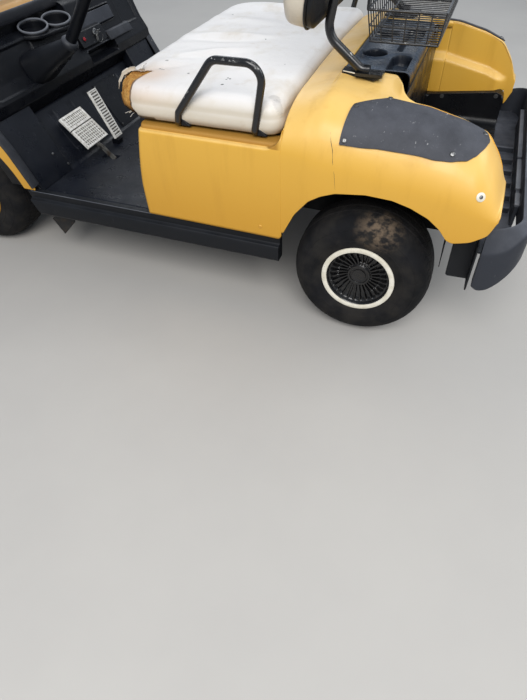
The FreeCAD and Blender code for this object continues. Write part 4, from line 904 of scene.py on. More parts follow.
def seatOutline(inset, count):
    # plan of the seat with all corners rounded; points lie closer together at the near front corner
    back, front = seatForm["back"] + inset, seatForm["front"] - inset
    out = seatForm["out"] - inset
    corners = [(back, 0, 0), (back, out, 0), (front, out, 0), (front, 0, 0)]
    shrink = 1 - inset / 0.35
    half = bendPath(corners, [seatForm["rearRound"] * shrink, seatForm["frontRound"] * shrink], 30)[:, :2]
    whole = np.vstack([half, (half * (1, -1))[::-1][1:-1]])
    closed = np.vstack([whole, whole[:1]])
    length = np.concatenate([[0], np.cumsum(np.linalg.norm(np.diff(closed, axis=0), axis=1))])
    fine = np.linspace(0, length[-1], 1200)
    torn = np.interp(0.055, closed[:60, 0], length[:60])
    spread = np.cumsum(1 + 2.2 * np.exp(-((fine - torn) / 0.11) ** 2))
    at = np.interp(np.linspace(spread[0], spread[-1], count, endpoint=False), spread, fine)
    return np.column_stack([np.interp(at, length, closed[:, 0]), np.interp(at, length, closed[:, 1])])


def softNoise(points, span, seed):
    # smooth noise: a few waves in fixed directions, about span metres long
    value = np.zeros(points.shape[:-1])
    draw = np.random.default_rng(seed)
    for _ in range(7):
        direction = unit(draw.normal(size=3)) * 2 * np.pi / span * draw.uniform(0.6, 1.7)
        value += np.sin(points @ direction + draw.uniform(0, 6.28))
    return value / 3.5


def seatHeight(x, y):
    # top of the cushion: crowned, with folds between the two places
    across = np.abs(y) / seatForm["out"]
    along = (x - seatForm["back"]) / (seatForm["front"] - seatForm["back"])
    height = seatForm["crown"] * (1 - across ** 3) * np.sin(np.pi * np.clip(along, 0.02, 0.98)) ** 0.6
    for fx, fy, length, width, rise, turn in seatForm["folds"]:
        c, s = math.cos(math.radians(turn)), math.sin(math.radians(turn))
        u, v = (x - fx) * c + (y - fy) * s, (y - fy) * c - (x - fx) * s
        height = height + rise * np.exp(-(u / length) ** 2 * 1.5 - (v / width) ** 2)
    height -= 0.010 * np.exp(-((x + 0.16) / 0.2) ** 2 - ((np.abs(y) - 0.30) / 0.16) ** 2)
    return height


def seatSurface(shrink=0.0):
    # rings of the outline: up the side, over the rounded edge, then in across the top to the middle
    outline = seatOutline(shrink, seatForm["around"])
    radius = seatForm["edgeRound"]
    base = seatForm["bottom"] + shrink
    top = seatForm["top"] - shrink
    normal = unit(np.roll(outline, -1, 0) - np.roll(outline, 1, 0))
    inward = np.column_stack([normal[:, 1], -normal[:, 0]])
    middle = np.array([(seatForm["back"] + seatForm["front"]) / 2, 0])
    inward = np.where(((middle - outline) * inward).sum(1, keepdims=True) < 0, -inward, inward)
    rings = []
    rise = np.linspace(0, 1, seatForm["sideRows"])
    for share in rise:
        bulge = 0.005 * math.sin(math.pi * share) - 0.006 * (1 - share) ** 3
        rings.append((outline - inward * bulge, base + (top - radius - base) * share))
    for turn in np.linspace(0, math.pi / 2, seatForm["roundRows"])[1:]:
        rings.append((outline + inward * radius * (1 - math.cos(turn)), top - radius + radius * math.sin(turn)))
    edge = rings[-1][0]
    for share in np.linspace(0, 1, seatForm["topRows"])[1:-1]:
        rings.append((edge + (middle - edge) * share, top))
    plan = np.array([ring for ring, _ in rings])
    height = np.array([level for _, level in rings])[:, None]
    near = smoothStep(height, top - radius, top)
    z = height + seatHeight(plan[..., 0], plan[..., 1]) * near
    points = np.concatenate([plan, (z + 0 * plan[..., 0])[..., None]], -1)
    crease = softNoise(points * (1, 1, 0.6), 0.13, 5) * 0.0006 + softNoise(points, 0.05, 9) * 0.0002
    points[..., 2] += crease * near
    points[..., :2] -= inward[None] * (crease * (1 - near) * 0.9)[..., None]
    return points


def makeSeat():
    points = seatSurface()
    rows, columns = points.shape[:2]
    flat, faces, _ = gridPart(points, False, True)
    middle = points[-1].mean(0)
    last = (rows - 1) * columns + np.arange(columns)
    faces = np.array(faces)
    fan = np.stack([np.full(columns, len(flat)), last, (rows - 1) * columns + (np.arange(columns) + 1) % columns], -1)
    flat = np.vstack([flat, middle])
    x, y, z = flat.T
    # how far inside the torn corner each point lies: ragged along the front, curved down the near side
    ragged = softNoise(flat, 0.035, 3) * 0.004 + softNoise(flat, 0.012, 4) * 0.003
    curl = 0.024 * smoothStep(-z, -0.690, -0.660) + 0.010 * smoothStep(-y, -0.47, -0.42)
    ahead = x - seatForm["tear"][0] + curl * (y > 0.3) + ragged * 0.4 * smoothStep(y, 0.40, 0.46) * smoothStep(-y, -0.53, -0.50)
    outside = y - seatForm["tear"][1] + ragged * 1.6 + 0.10 * np.clip(0.045 - x, 0, 0.05)
    inside = np.minimum(ahead, outside)
    kept = faces[(inside[faces] < 0).all(1)]
    # this mask feeds the torn mark: painted shadow under the lifted edge of the tear and along the cover's lower edge
    # by the torn corner
    lip = smoothStep(outside, -0.007, -0.002) * (x > 0.012) + smoothStep(-z, -0.662, -0.657) * (x > -0.065) * (x < 0.03) * (y > 0.4)
    # darker along the bottom of the cover
    bottomDarkening = smoothStep(-z, -0.672, -0.655)
    warm = np.exp(-((x + 0.005) / 0.06) ** 2 - ((y - 0.44) / 0.07) ** 2) + 0.5 * np.exp(-((z - 0.715) / 0.02) ** 2) * (y > 0.3) * smoothStep(x, -0.20, -0.03)
    cover = makePiece("seatCover", [(flat, kept.tolist() + fan.tolist(), 0)], vinyl, "seat", ["seat_cushion"],
                      angle=80, recalculate=False, wall=seatForm["skin"],
                      marks={"torn": np.clip(lip, 0, 1), "bottomDarkening": bottomDarkening, "warm": np.clip(warm, 0, 1)})
    core = seatSurface(0.0045)[:, ::2]
    core += softNoise(core, 0.03, 12)[..., None] * 0.0012 + softNoise(core, 0.011, 13)[..., None] * 0.0008
    foamPart = withCaps(gridPart(core, False, True), core.shape[0], core.shape[1])
    makePiece("seatFoam", [foamPart], foam, "seat", angle=80)


def makeFlaps():
    # strips of cover that hang from the tear: places along each strip, width at its root, twist
    strips = [([(0.062, 0.418, 0.7445), (0.082, 0.424, 0.7430), (0.104, 0.431, 0.7300), (0.118, 0.437, 0.7080),
                (0.124, 0.440, 0.6860)], 0.014, 0.3),
              ([(0.040, 0.420, 0.7475), (0.044, 0.398, 0.7525), (0.042, 0.378, 0.7520)], 0.011, -0.4),
              ([(0.018, 0.434, 0.7480), (0.034, 0.437, 0.7505), (0.052, 0.440, 0.7470)], 0.010, 0.5),
              ([(0.020, 0.517, 0.668), (0.034, 0.520, 0.656), (0.044, 0.525, 0.650)], 0.009, 0.2),
              ([(0.090, 0.420, 0.736), (0.104, 0.412, 0.728), (0.116, 0.408, 0.712)], 0.016, 0.6)]
    parts, marks = [], []
    for spine, width, twist in strips:
        path = bendPath(np.array(spine), [0.02] * (len(spine) - 2), 6)
        along = unit(np.gradient(path, axis=0))
        side = unit(np.cross(along, (0.3, 1.0, 0.2)))
        over = np.cross(side, along)
        u = np.linspace(0, 1, len(path))[:, None, None]
        v = np.linspace(-0.5, 0.5, 7)[None, :, None]
        wide = width * (1 - 0.8 * u ** 1.5) * (1 + 0.2 * np.sin(14 * u + 5 * v))
        turn = twist * (1 + 3 * u)
        points = path[:, None] + wide * v * (np.cos(turn) * side[:, None] + np.sin(turn) * over[:, None])
        points = points + over[:, None] * (0.10 * wide * (4 * v * v - 1))
        parts.append(gridPart(points, flip=True))
        # dark edges near each strip's root: painted shadow at the tear
        marks.append((np.clip(np.abs(v) * 2 - 0.9, 0, 1) * 6 * (u < 0.25)).clip(0, 1).ravel())
    makePiece("seatCoverFlaps", parts, vinyl, "seat", recalculate=False, wall=0.0012,
              marks={"torn": np.concatenate(marks)})
    # loose stitching at the lower corner
    threads = [[(0.020, 0.517, 0.661), (0.036, 0.524, 0.657), (0.048, 0.522, 0.652), (0.058, 0.526, 0.648)],
               [(0.018, 0.520, 0.655), (0.030, 0.528, 0.650), (0.036, 0.534, 0.642)]]
    makePiece("looseThreads", [tubePart(bendPath(line, [0.01, 0.01][:len(line) - 2], 5), 0.0007, 5, reference=(0, 0.2, 1))
                               for line in threads], vinyl, "seat")


boardForm = {"low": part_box("seat_board")[0].z, "bottom": 0.6462, "top": 0.664, "inset": 0.016}


def makeSeatBoard():
    outline = seatOutline(boardForm["inset"], 160)
    board = prismPart(outline, boardForm["bottom"], boardForm["top"] - 0.010, "z")
    pads = []
    for x in (seatForm["back"] + 0.012, seatForm["back"] + 0.378):
        pads.append(boxPart((x, 0.500, boardForm["low"]), (x + 0.03, 0.518, boardForm["bottom"] + 0.001)))
    hinges = [boxPart((0.018, y, boardForm["low"]), (0.030, y + 0.04, boardForm["bottom"] + 0.001)) for y in (0.28,)]
    makePiece("seatBoardPlate", [board] + bothSides(pads + hinges), black, "seat", ["seat_board"],
              bevel=0.0012)


loopForm = {"radius": 0.011, "out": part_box("hip_loop_left")[1].y - 0.011, "top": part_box("hip_loop_left")[1].z - 0.011}


def makeHipLoops():
    low, foot, out, top = 0.653, 0.540, loopForm["out"], loopForm["top"]
    side, rise = out - 0.012, low + 0.007
    corners = [(-0.149, foot, low), (-0.149, side, rise), (-0.157, out - 0.006, low + 0.035), (-0.282, out, top), (-0.434, out, top),
               (-0.397, side, rise), (-0.397, foot, low)]
    path = bendPath(corners, [0.008, 0.020, 0.040, 0.045, 0.008], 14)
    tube = tubePart(path, loopForm["radius"], 20, reference=(0.3, 1, 0.2))
    # fold of dark lining that shows behind each foot
    notches = []
    for x in (-0.149, -0.395):
        notches.append(prismPart([(x - 0.008, 0.6475), (x - 0.012, 0.668), (x - 0.020, 0.664), (x - 0.038, 0.6475)], 0.5445, 0.5585))
    for name, parts in (("Left", [tube]), ("Right", [mirrored(tube)])):
        makePiece("hipLoop" + name, parts, enamel, "seat", ["hip_loop_" + name.lower()])
    makePiece("hipLoopLining", bothSides(notches), black, "seat", bevel=0.002)


backForm = {"lean": math.radians(10), "out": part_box("back_cushion")[1].y, "low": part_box("back_shell")[0].z + 0.02,
            "height": 0.335, "thick": 0.074, "shell": 0.028, "place": (-0.430, 0.905)}


def backPlan(inset, count):
    out, high, low = backForm["out"] - inset, backForm["height"] - inset, inset
    corners = [(0, low), (out, low), (out, high), (0, high)]
    half = bendPath([(a, b, 0) for a, b in corners], [0.085, 0.075], 22)[:, :2]
    whole = np.vstack([half, (half * (-1, 1))[::-1][1:-1]])
    closed = np.vstack([whole, whole[:1]])
    length = np.concatenate([[0], np.cumsum(np.linalg.norm(np.diff(closed, axis=0), axis=1))])
    at = np.linspace(0, length[-1], count, endpoint=False)
    return np.column_stack([np.interp(at, length, closed[:, 0]), np.interp(at, length, closed[:, 1])])


def backRings(levels, count=360, puff=0.0):
    # slab from rings of the plan: each level is inset and depth behind the front face
    middle = np.array([0, backForm["height"] / 2])
    rings = []
    for inset, depth, toMiddle in levels:
        plan = backPlan(inset, count)
        plan = plan + (middle - plan) * toMiddle
        share = np.clip(1 - np.abs(plan[:, 0]) / backForm["out"], 0, 1)
        tall = np.clip(1 - np.abs(plan[:, 1] - middle[1]) / (backForm["height"] / 2), 0, 1)
        swell = puff * (1 - (1 - share) ** 2.5) * (1 - (1 - tall) ** 2.5) * (toMiddle > 0)
        rings.append(np.column_stack([plan, depth - swell]))
    grid = np.array(rings)
    c, s = math.cos(backForm["lean"]), math.sin(backForm["lean"])
    x = backForm["place"][0] - grid[..., 2] * c - grid[..., 1] * s
    z = backForm["place"][1] + grid[..., 1] * c - grid[..., 2] * s
    return np.stack([x, grid[..., 0], z], -1)


def makeSeatBack():
    inset = [(0.004, backForm["thick"], 0), (0.0, backForm["thick"] - 0.006, 0), (0.0, 0.036, 0)]
    turn = np.linspace(0, math.pi / 2, 10)[1:]
    rounded = [(0.030 * (1 - math.cos(t)), 0.036 - 0.030 * math.sin(t), 0) for t in turn]
    across = [(0.030, 0.006, share) for share in np.linspace(0, 1, 34)[1:-1]]
    front = backRings(inset + rounded + across, 360, 0.008)
    front[..., 0] += softNoise(front, 0.11, 21) * 0.0018
    rows, columns = front.shape[:2]
    cushion = makePiece("backCushionCover", [withCaps(gridPart(front, False, True), rows, columns)], vinyl, "cart",
                        ["back_cushion"], angle=60)
    start = backForm["thick"] + 0.0005
    levels = [(0.012, start, 0), (0.003, start + 0.001, 0), (0.001, start + 0.006, 0), (0.003, start + 0.016, 0),
              (0.014, start + 0.024, 0), (0.032, start + backForm["shell"] - 0.001, 0)]
    levels += [(0.032, start + backForm["shell"] - 0.001 - 0.004 * (share > 0.08), share) for share in np.linspace(0, 1, 16)[1:-1]]
    shell = backRings(levels, 240)
    rows, columns = shell.shape[:2]
    makePiece("backShellPanel", [withCaps(gridPart(shell, False, True), rows, columns)], black, "cart",
              ["back_shell"], angle=35)
    # piping round the joint of the cushion and its shell
    cord = backRings([(-0.0005, backForm["thick"] + 0.001, 0)], 300)[0]
    makePiece("backPiping", [tubePart(cord, 0.0035, 8, True, (1, 0, 0.15))], black, "cart")


makeGuards()
makeBodyBits()
makeSeat()
makeFlaps()
makeSeatBoard()
makeHipLoops()
makeSeatBack()
print("guards and seat made")


# Wheels

wheelForm = {
    "radius": (rearTyreHigh.z - rearTyreLow.z) / 2 - 0.0005, "half": (rearTyreHigh.y - rearTyreLow.y) / 2 - 0.0005,
    "around": 60, "grooves": (0.018, 0.046), "groove": 0.0026, "sipe": 0.0016,
    "ringPlane": 0.0985, "ringOut": 0.120, "finsOut": 0.0965, "finsIn": 0.040, "fins": 28, "finDepth": 0.010,
}


def tyrePart():
    # closed profile turned round: side rings, rounded shoulder, ribs with grooves between them, slanted sipes
    half = wheelForm["half"]
    side = [(0.1100, 0.079), (0.1140, 0.0905), (0.1205, 0.0945), (0.1280, 0.0985), (0.1360, 0.1020),
            (0.1480, 0.1052), (0.1492, 0.1062), (0.1516, 0.1064), (0.1528, 0.1056), (0.1650, half), (0.1780, 0.1062),
            (0.1860, 0.1036), (0.1874, 0.1044), (0.1894, 0.1036), (0.1906, 0.1020), (0.1960, 0.0995), (0.2010, 0.0960),
            (0.2050, 0.0920), (0.2090, 0.0874), (0.2125, 0.0820), (0.2157, 0.0762), (0.2185, 0.0700), (0.2207, 0.0640)]

    def crownRadius(y):
        return wheelForm["radius"] - 0.228 + np.interp(y, [0, 0.028, 0.045, 0.058, 0.07], [0.228, 0.2275, 0.2255, 0.2225, 0.2185])

    tread = []
    for middle in sorted(wheelForm["grooves"], reverse=True):
        tread.append((crownRadius(middle + 0.012), middle + 0.012))
        for away, deep in ((0.0024, 0), (0.0014, 1), (-0.0014, 1), (-0.0024, 0)):
            tread.append((crownRadius(middle + away) - deep * wheelForm["groove"], middle + away))
    tread.append((crownRadius(0), 0.0))
    upper = np.array(side + tread)
    lower = upper[-2::-1] * (1, -1)
    profile = np.vstack([upper, lower, [(0.104, -0.076), (0.104, 0.076)]])
    columns = wheelForm["around"]
    shares = np.array([0, 0.10, 0.20, 0.60])
    angle = ((np.arange(columns)[:, None] + shares[None, :]).ravel() * 2 * np.pi / columns)[None, :]
    along = profile[:, 1:2]
    slant = np.interp(np.abs(along), [0, 0.02, 0.056, 0.10], [0, 0.05, -0.02, 0.02])
    onTread = smoothStep(profile[:, :1], 0.2190, 0.2215)
    sipe = np.tile(np.array([0, 1, 0, 0]), columns)[None, :] * wheelForm["sipe"] * onTread
    r = profile[:, :1] - sipe
    a = angle + slant * onTread
    points = np.stack([r * np.cos(a), along + 0 * a, r * np.sin(a)], -1)
    return gridPart(points, True, True, flip=True)


def coverParts():
    # trim ring, then a dished cover with turbine fins and a stepped hub; distances from the wheel's middle
    plane = wheelForm["ringPlane"]
    ring = [(0.1160, plane - 0.016), (0.1205, plane - 0.010), (0.1212, plane - 0.004), (0.1200, plane - 0.0010),
            (0.1170, plane + 0.0003), (0.1080, plane + 0.0003), (0.1050, plane - 0.0010), (0.1040, plane - 0.0040),
            (0.1040, plane - 0.010)]
    ringPart = lathePart(ring, (0, 0, 0), 128)[:2]
    points, faces = ringPart
    faces = faces[:(len(ring) - 1) * 128]
    parts = [(points, faces, 1)]
    outer, inner, fins = wheelForm["finsOut"], wheelForm["finsIn"], wheelForm["fins"]
    columns = fins * 12
    angle = np.arange(columns) * 2 * np.pi / columns
    radii = np.concatenate([[0.1045, 0.1030, 0.1010, 0.0985], np.linspace(outer, inner, 26),
                            [0.0385, 0.0370, 0.0330, 0.0310, 0.0290, 0.0240, 0.0225, 0.0200, 0.0150, 0.0080, 0.0004]])
    dish = np.interp(radii, [0, 0.0080, 0.0200, 0.0225, 0.0240, 0.0290, 0.0310, 0.0330, 0.0370, 0.0385, inner, 0.052,
                             0.068, 0.084, outer, 0.0985, 0.1030, 0.1045],
                     [-0.0275, -0.0275, -0.0270, -0.0255, -0.0285, -0.0285, -0.0255, -0.0250, -0.0250, -0.0270,
                      -0.0290, -0.0262, -0.0215, -0.0165, -0.0135, -0.0125, -0.0040, -0.0030])
    share = np.clip((radii - inner) / (outer - inner), 0, 1)
    ends = smoothStep(share, 0.0, 0.12) * smoothStep(-share, -1.0, -0.86)
    phase = (angle * fins / (2 * np.pi)) % 1
    # every slot is a leaf, wider outwards, between blades with a soft top
    wide = (0.22 + 0.12 * share)[:, None]
    slotDepth = smoothStep(-np.abs(phase - 0.5)[None, :], -wide - 0.08, -wide + 0.06)
    height = plane + dish[:, None] - wheelForm["finDepth"] * slotDepth * ends[:, None]
    r = radii[:, None]
    twist = 0.10 * (1 - share)[:, None] ** 2
    points = np.stack([r * np.cos(angle + twist), height, r * np.sin(angle + twist)], -1)
    parts.append(gridPart(points, False, True))
    # steel wheel behind the cover
    back = [(0.0005, -0.044), (0.040, -0.044), (0.046, -0.040), (0.090, -0.034), (0.0985, -0.042), (0.0985, -0.082),
            (0.104, -0.0865), (0.1135, -0.0905), (0.1165, -0.086), (0.1100, -0.078), (0.1060, -0.060), (0.1060, 0.060),
            (0.1100, 0.076), (0.1160, plane - 0.012), (0.1040, plane - 0.010)]
    points, faces, _ = lathePart(back, (0, 0, 0), 96)
    parts.append((points, faces[:(len(back) - 1) * 96], 2))
    return parts


def makeWheels():
    tyre, cover = tyrePart(), coverParts()
    for end, low, high in (("r", rearTyreLow, rearTyreHigh), ("f", frontTyreLow, frontTyreHigh)):
        centreX, centreY = (low.x + high.x) / 2, (low.y + high.y) / 2
        for side, sign in (("l", 1), ("r", -1)):
            name = end + side
            spin = Matrix.Rotation({"rl": 0.4, "rr": 1.9, "fl": 0.9, "fr": 2.6}[name], 3, "Y")
            place = np.array([centreX, centreY, axleZ])
            pieces = [turned(part, place, spin) for part in [tyre] + cover]
            if sign < 0:
                pieces = [mirrored(part) for part in pieces]
            makePiece("tyre" + name.upper(), pieces[:1], rubber, "wheel_" + name, ["tyre_" + name],
                      angle=24, recalculate=True)
            makePiece("wheelCover" + name.upper(), pieces[1:], [coverBlack, trim if end == "r" else yellow, casting], "wheel_" + name,
                      ["wheel_" + name], angle=30, recalculate=True)


# Rear bumper: a moulded wrap with a horn at each end

rearBumperLow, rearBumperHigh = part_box("rear_bumper")
bumperForm = {"out": rearBumperHigh.y, "back": rearBumperLow.x, "corner": 0.088, "hornX": rearBumperHigh.x, "thick": 0.036}


def roundedRing(count, power=3.2):
    # unit outline between a circle and a square
    angle = np.linspace(0, 2 * np.pi, count, endpoint=False)
    c, s = np.cos(angle), np.sin(angle)
    return np.sign(c) * np.abs(c) ** (2 / power), np.sign(s) * np.abs(s) ** (2 / power)


def makeRearBumper():
    form = bumperForm
    out, back, corner, half = form["out"], form["back"], form["corner"], form["thick"] / 2
    corners = [(form["hornX"] - 0.001, out - half, 0), (back + half, out - half, 0), (back + half, -out + half, 0),
               (form["hornX"] - 0.001, -out + half, 0)]
    path = bendPath(corners, [corner - half, corner - half], 26)
    length = np.concatenate([[0], np.cumsum(np.linalg.norm(np.diff(path, axis=0), axis=1))])
    at = np.concatenate([np.linspace(0, 0.4, 80), np.linspace(0.4, length[-1] - 0.4, 60)[1:-1],
                         length[-1] - np.linspace(0.4, 0, 80)])
    path = np.column_stack([np.interp(at, length, path[:, i]) for i in range(3)])
    fromEnd = np.minimum(at, length[-1] - at)
    # heights along the wrap: lower edge, where the face bends back, and the top of the slanted part
    low = eased(fromEnd, [0, 0.012, 0.035, 0.05, 0.10, 0.14, 0.20, 0.34, 0.60, 2],
                [0.292, 0.277, 0.282, 0.295, 0.355, 0.392, 0.412, 0.402, 0.380, 0.380], 0.010)
    bend = eased(fromEnd, [0, 0.03, 0.06, 0.085, 0.13, 2], [0.404, 0.411, 0.428, 0.458, 0.480, 0.484], 0.010)
    top = eased(fromEnd, [0, 0.03, 0.06, 0.10, 0.16, 2], [0.474, 0.484, 0.490, 0.496, 0.499, 0.499], 0.008)
    side = np.cross(unit(np.gradient(path, axis=0)), (0, 0, 1.0))
    outward = 1 if (side[0] * (0, 1, 0)).sum() > 0 else -1
    wide = half * outward * eased(fromEnd, [0, 0.006, 0.03, 2], [0.80, 0.96, 1, 1], 0.004)
    edges = [(wide, low), (wide, bend), (-wide * 0.85, top), (-wide, top - 0.010), (-wide, low + 0.012)]
    edges = [np.column_stack([path[:, :2] + side[:, :2] * across[:, None], level]) for across, level in edges]
    # each corner of the section is a short curve between its two sides
    rings = []
    for i, edge in enumerate(edges):
        before, after = edges[i - 1] - edge, edges[(i + 1) % len(edges)] - edge
        step = [np.minimum(size, 0.45 * np.linalg.norm(arm, axis=1))[:, None] for size, arm in ((0.009, before), (0.009, after))]
        first, second = edge + unit(before) * step[0], edge + unit(after) * step[1]
        for t in np.linspace(0, 1, 5):
            rings.append((1 - t) ** 2 * first + 2 * t * (1 - t) * edge + t * t * second)
    ring = np.stack(rings, 1)
    part = withCaps(gridPart(ring, False, True), len(path), ring.shape[1])
    makePiece("rearBumperWrap", [part], bumperBlack, "cart", ["rear_bumper"], angle=40)


def makeRearFlaps():
    outline = [(-1.013, 0.385), (-1.000, 0.431), (-1.084, 0.431), (-1.0825, 0.311), (-1.0825, 0.276), (-1.078, 0.2695),
               (-1.022, 0.2675), (-1.015, 0.272)]
    flap = [prismPart(outline, 0.5165, 0.5240)]
    flap.append(prismPart([(0.5165, 0.272), (0.586, 0.272), (0.589, 0.280), (0.589, 0.428), (0.5165, 0.431)], -1.0825, -1.0775, "x"))
    for name, parts in (("left", flap), ("right", [mirrored(part) for part in flap])):
        makePiece("fenderFlap" + name.capitalize(), parts, black, "cart", ["flap_" + name], bevel=0.0015)


# Tray behind the seat back and the bag well

trayForm = {"top": trayHigh.z, "floor": 0.008, "lip": 0.020, "edge": 0.007,
            "slots": ((-0.728, -0.095, 0.030, 0.155), (-0.728, 0.170, 0.030, 0.080)), "slotDepth": 0.030,
            "cups": ((-0.640, 0.11), (-0.640, -0.11)), "cup": 0.038, "cupDepth": 0.050}


def roundedBoxDistance(x, y, centre, halfX, halfY, radius):
    # signed distance to a rectangle with rounded corners
    dx = np.abs(x - centre[0]) - (halfX - radius)
    dy = np.abs(y - centre[1]) - (halfY - radius)
    return np.hypot(dx.clip(0), dy.clip(0)) + np.minimum(np.maximum(dx, dy), 0) - radius


def makeTray():
    form = trayForm
    x = np.linspace(trayHigh.x - 0.0005, trayLow.x + form["lip"], 110)
    y = np.linspace(-trayHigh.y + 0.0005, trayHigh.y - 0.0005, 330)
    gx, gy = np.meshgrid(x, y, indexing="ij")
    rim = roundedBoxDistance(gx, gy, ((x[0] + x[-1]) / 2 - 0.03, 0), (x[0] - x[-1]) / 2 + 0.03, trayHigh.y, 0.02)
    z = form["top"] - 0.0005 - form["floor"] * smoothStep(-rim, form["edge"], form["edge"] + 0.010)
    for cx, cy, halfX, halfY in form["slots"]:
        away = roundedBoxDistance(gx, gy, (cx, cy), halfX, halfY, 0.026)
        z = z - form["slotDepth"] * smoothStep(-away, -0.002, 0.008) - 0.003 * smoothStep(-away, -0.012, -0.002)
    for cx, cy in form["cups"]:
        away = np.hypot(gx - cx, gy - cy) - form["cup"]
        z = z - form["cupDepth"] * smoothStep(-away, -0.001, 0.005) + 0.004 * np.exp(-((away - 0.005) / 0.004) ** 2)
    surface = np.stack([gx, gy, z], -1)
    turn = np.linspace(0, np.pi / 2, 9)[1:, None]
    last = surface[-1]
    rounded = np.stack([last[None, :, 0] - form["lip"] * np.sin(turn), last[None, :, 1] + 0 * turn,
                        last[None, :, 2] - form["lip"] * (1 - np.cos(turn))], -1)
    drop = rounded[-1:] + np.array([0, 0, -1]) * (rounded[-1:, :, 2:] - trayLow.z - 0.001)
    part = gridPart(np.concatenate([surface, rounded, drop], 0), flip=True)
    makePiece("bagTrayTop", [part], shinyBlack, "cart", ["bag_tray"], recalculate=False, wall=0.003)


linerLow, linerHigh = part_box("well_liner")
linerForm = {"floor": linerLow.z + 0.008, "out": linerHigh.y - 0.001, "front": linerHigh.x, "back": -1.083,
             "flat": 0.345, "side": 0.371, "frontTop": 0.714}


def makeLiner():
    form = linerForm
    x = np.linspace(form["back"], form["front"] - 0.006, 130)
    # outward flange along the top, dropping at its rear corner
    rim = np.interp(x, [-1.053, -0.805], [0.519, 0.491])
    rim = rim - 0.030 + np.sqrt(np.maximum(0.030 ** 2 - np.clip(-1.053 - x, 0, 0.030) ** 2, 0))
    corners = [(0, form["floor"]), (form["side"] - 0.001, form["floor"]), (form["side"], 0), (form["out"], 0)]
    rows = []
    for level in rim:
        corners[2], corners[3] = (form["side"] + 0.001, level - 0.006), (form["out"], level)
        section = bendPath([(y, 0, z) for y, z in corners], [0.026, 0.007], 10)[:, (0, 2)]
        length = np.concatenate([[0], np.cumsum(np.linalg.norm(np.diff(section, axis=0), axis=1))])
        at = np.concatenate([np.linspace(0, 0.34, 90), np.linspace(0.34, length[-1], 50)[1:]])
        rows.append(np.column_stack([np.interp(at, length, section[:, 0]), np.interp(at, length, section[:, 1])]))
    section = np.array(rows)
    y, z = section[..., 0], section[..., 1]
    # ribs along the floor
    ribs = 0.006 * smoothStep(np.cos(y * 2 * np.pi / 0.058), 0.1, 0.7) * (y < form["flat"] - 0.02)
    z = z + ribs * smoothStep(-x, 0.86, 0.88)[:, None]
    parts = bothSides([gridPart(np.stack([x[:, None] + 0 * y, y, z], -1), flip=True)])
    # front wall up to the tray
    gy, gz = np.meshgrid(np.linspace(-1, 1, 60), np.linspace(form["floor"], form["frontTop"], 46), indexing="ij")
    reach = np.interp(gz, [form["floor"], form["floor"] + 0.010, form["floor"] + 0.026, 0.486, 0.491],
                      [form["flat"], 0.362, form["side"], form["side"] + 0.001, form["out"]])
    bend = 0.012 * (1 - smoothStep(gz, form["floor"], form["floor"] + 0.03)) - 0.0045 * smoothStep(gz, 0.690, 0.705)
    parts.append(gridPart(np.stack([form["front"] - 0.006 - bend, gy * reach, gz], -1), flip=True))
    makePiece("bagWellLiner", parts, linerBlack, "cart", ["well_liner"], recalculate=False, wall=0.003)
    # flat panel bolted to the side wall, standing above its flange
    panel = [(-0.795, 0.440), (-0.795, 0.482), (-0.803, 0.4925), (-1.053, 0.5215), (-1.072, 0.514), (-1.079, 0.497), (-1.079, 0.440)]
    makePiece("wellSidePanels", bothSides([prismPart(panel, form["side"] - 0.0035, form["side"] - 0.0005)]), linerBlack, "cart",
              bevel=0.001)
    bolts = []
    for px, pz in ((-0.850, 0.488), (-1.053, 0.508)):
        bolts += boltPart((px, form["side"] - 0.0035, pz), (0, -1, 0), 0.0055)
    makePiece("linerBolts", bothSides(bolts), zinc, "cart")
    # behind the well: a lower floor with cross ribs, closed by the bumper's slotted inner wall
    plan = [(-1.080, -0.553), (-1.125, -0.553), (-1.160, -0.535), (-1.173, -0.49), (-1.173, 0.49), (-1.160, 0.535),
            (-1.125, 0.553), (-1.080, 0.553)]
    tail = [prismPart(plan, 0.385, 0.391, "z")]
    for middle in (-0.15, -0.05, 0.04, 0.13, 0.22, 0.30):
        tail.append(boxPart((-1.158, middle - 0.006, 0.390), (-1.085, middle + 0.006, 0.408)))
    tail.append(boxPart((-1.174, -0.392, 0.390), (-1.162, 0.376, 0.455)))
    makePiece("tailFloor", tail, bumperBlack, "cart", bevel=0.002)
    caps = [boxPart((-1.175, first, 0.452), (-1.159, last, 0.462)) for first, last in ((-0.39, 0.04), (0.06, 0.27), (0.30, 0.376))]
    makePiece("tailWallCaps", caps, paleEdge, "cart", bevel=0.003)


# Basket of welded wire

basketLow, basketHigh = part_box("basket")
basketForm = {"wire": 0.0019, "rim": 0.0042, "rimZ": 0.9135, "floorZ": 0.8345, "tallZ": basketHigh.z - 0.0045,
              "frontX": basketHigh.x - 0.0045, "backX": basketLow.x + 0.0045, "out": basketHigh.y - 0.0045,
              "footFront": -0.648, "footBack": -0.838, "footOut": 0.267, "pitch": 0.031}


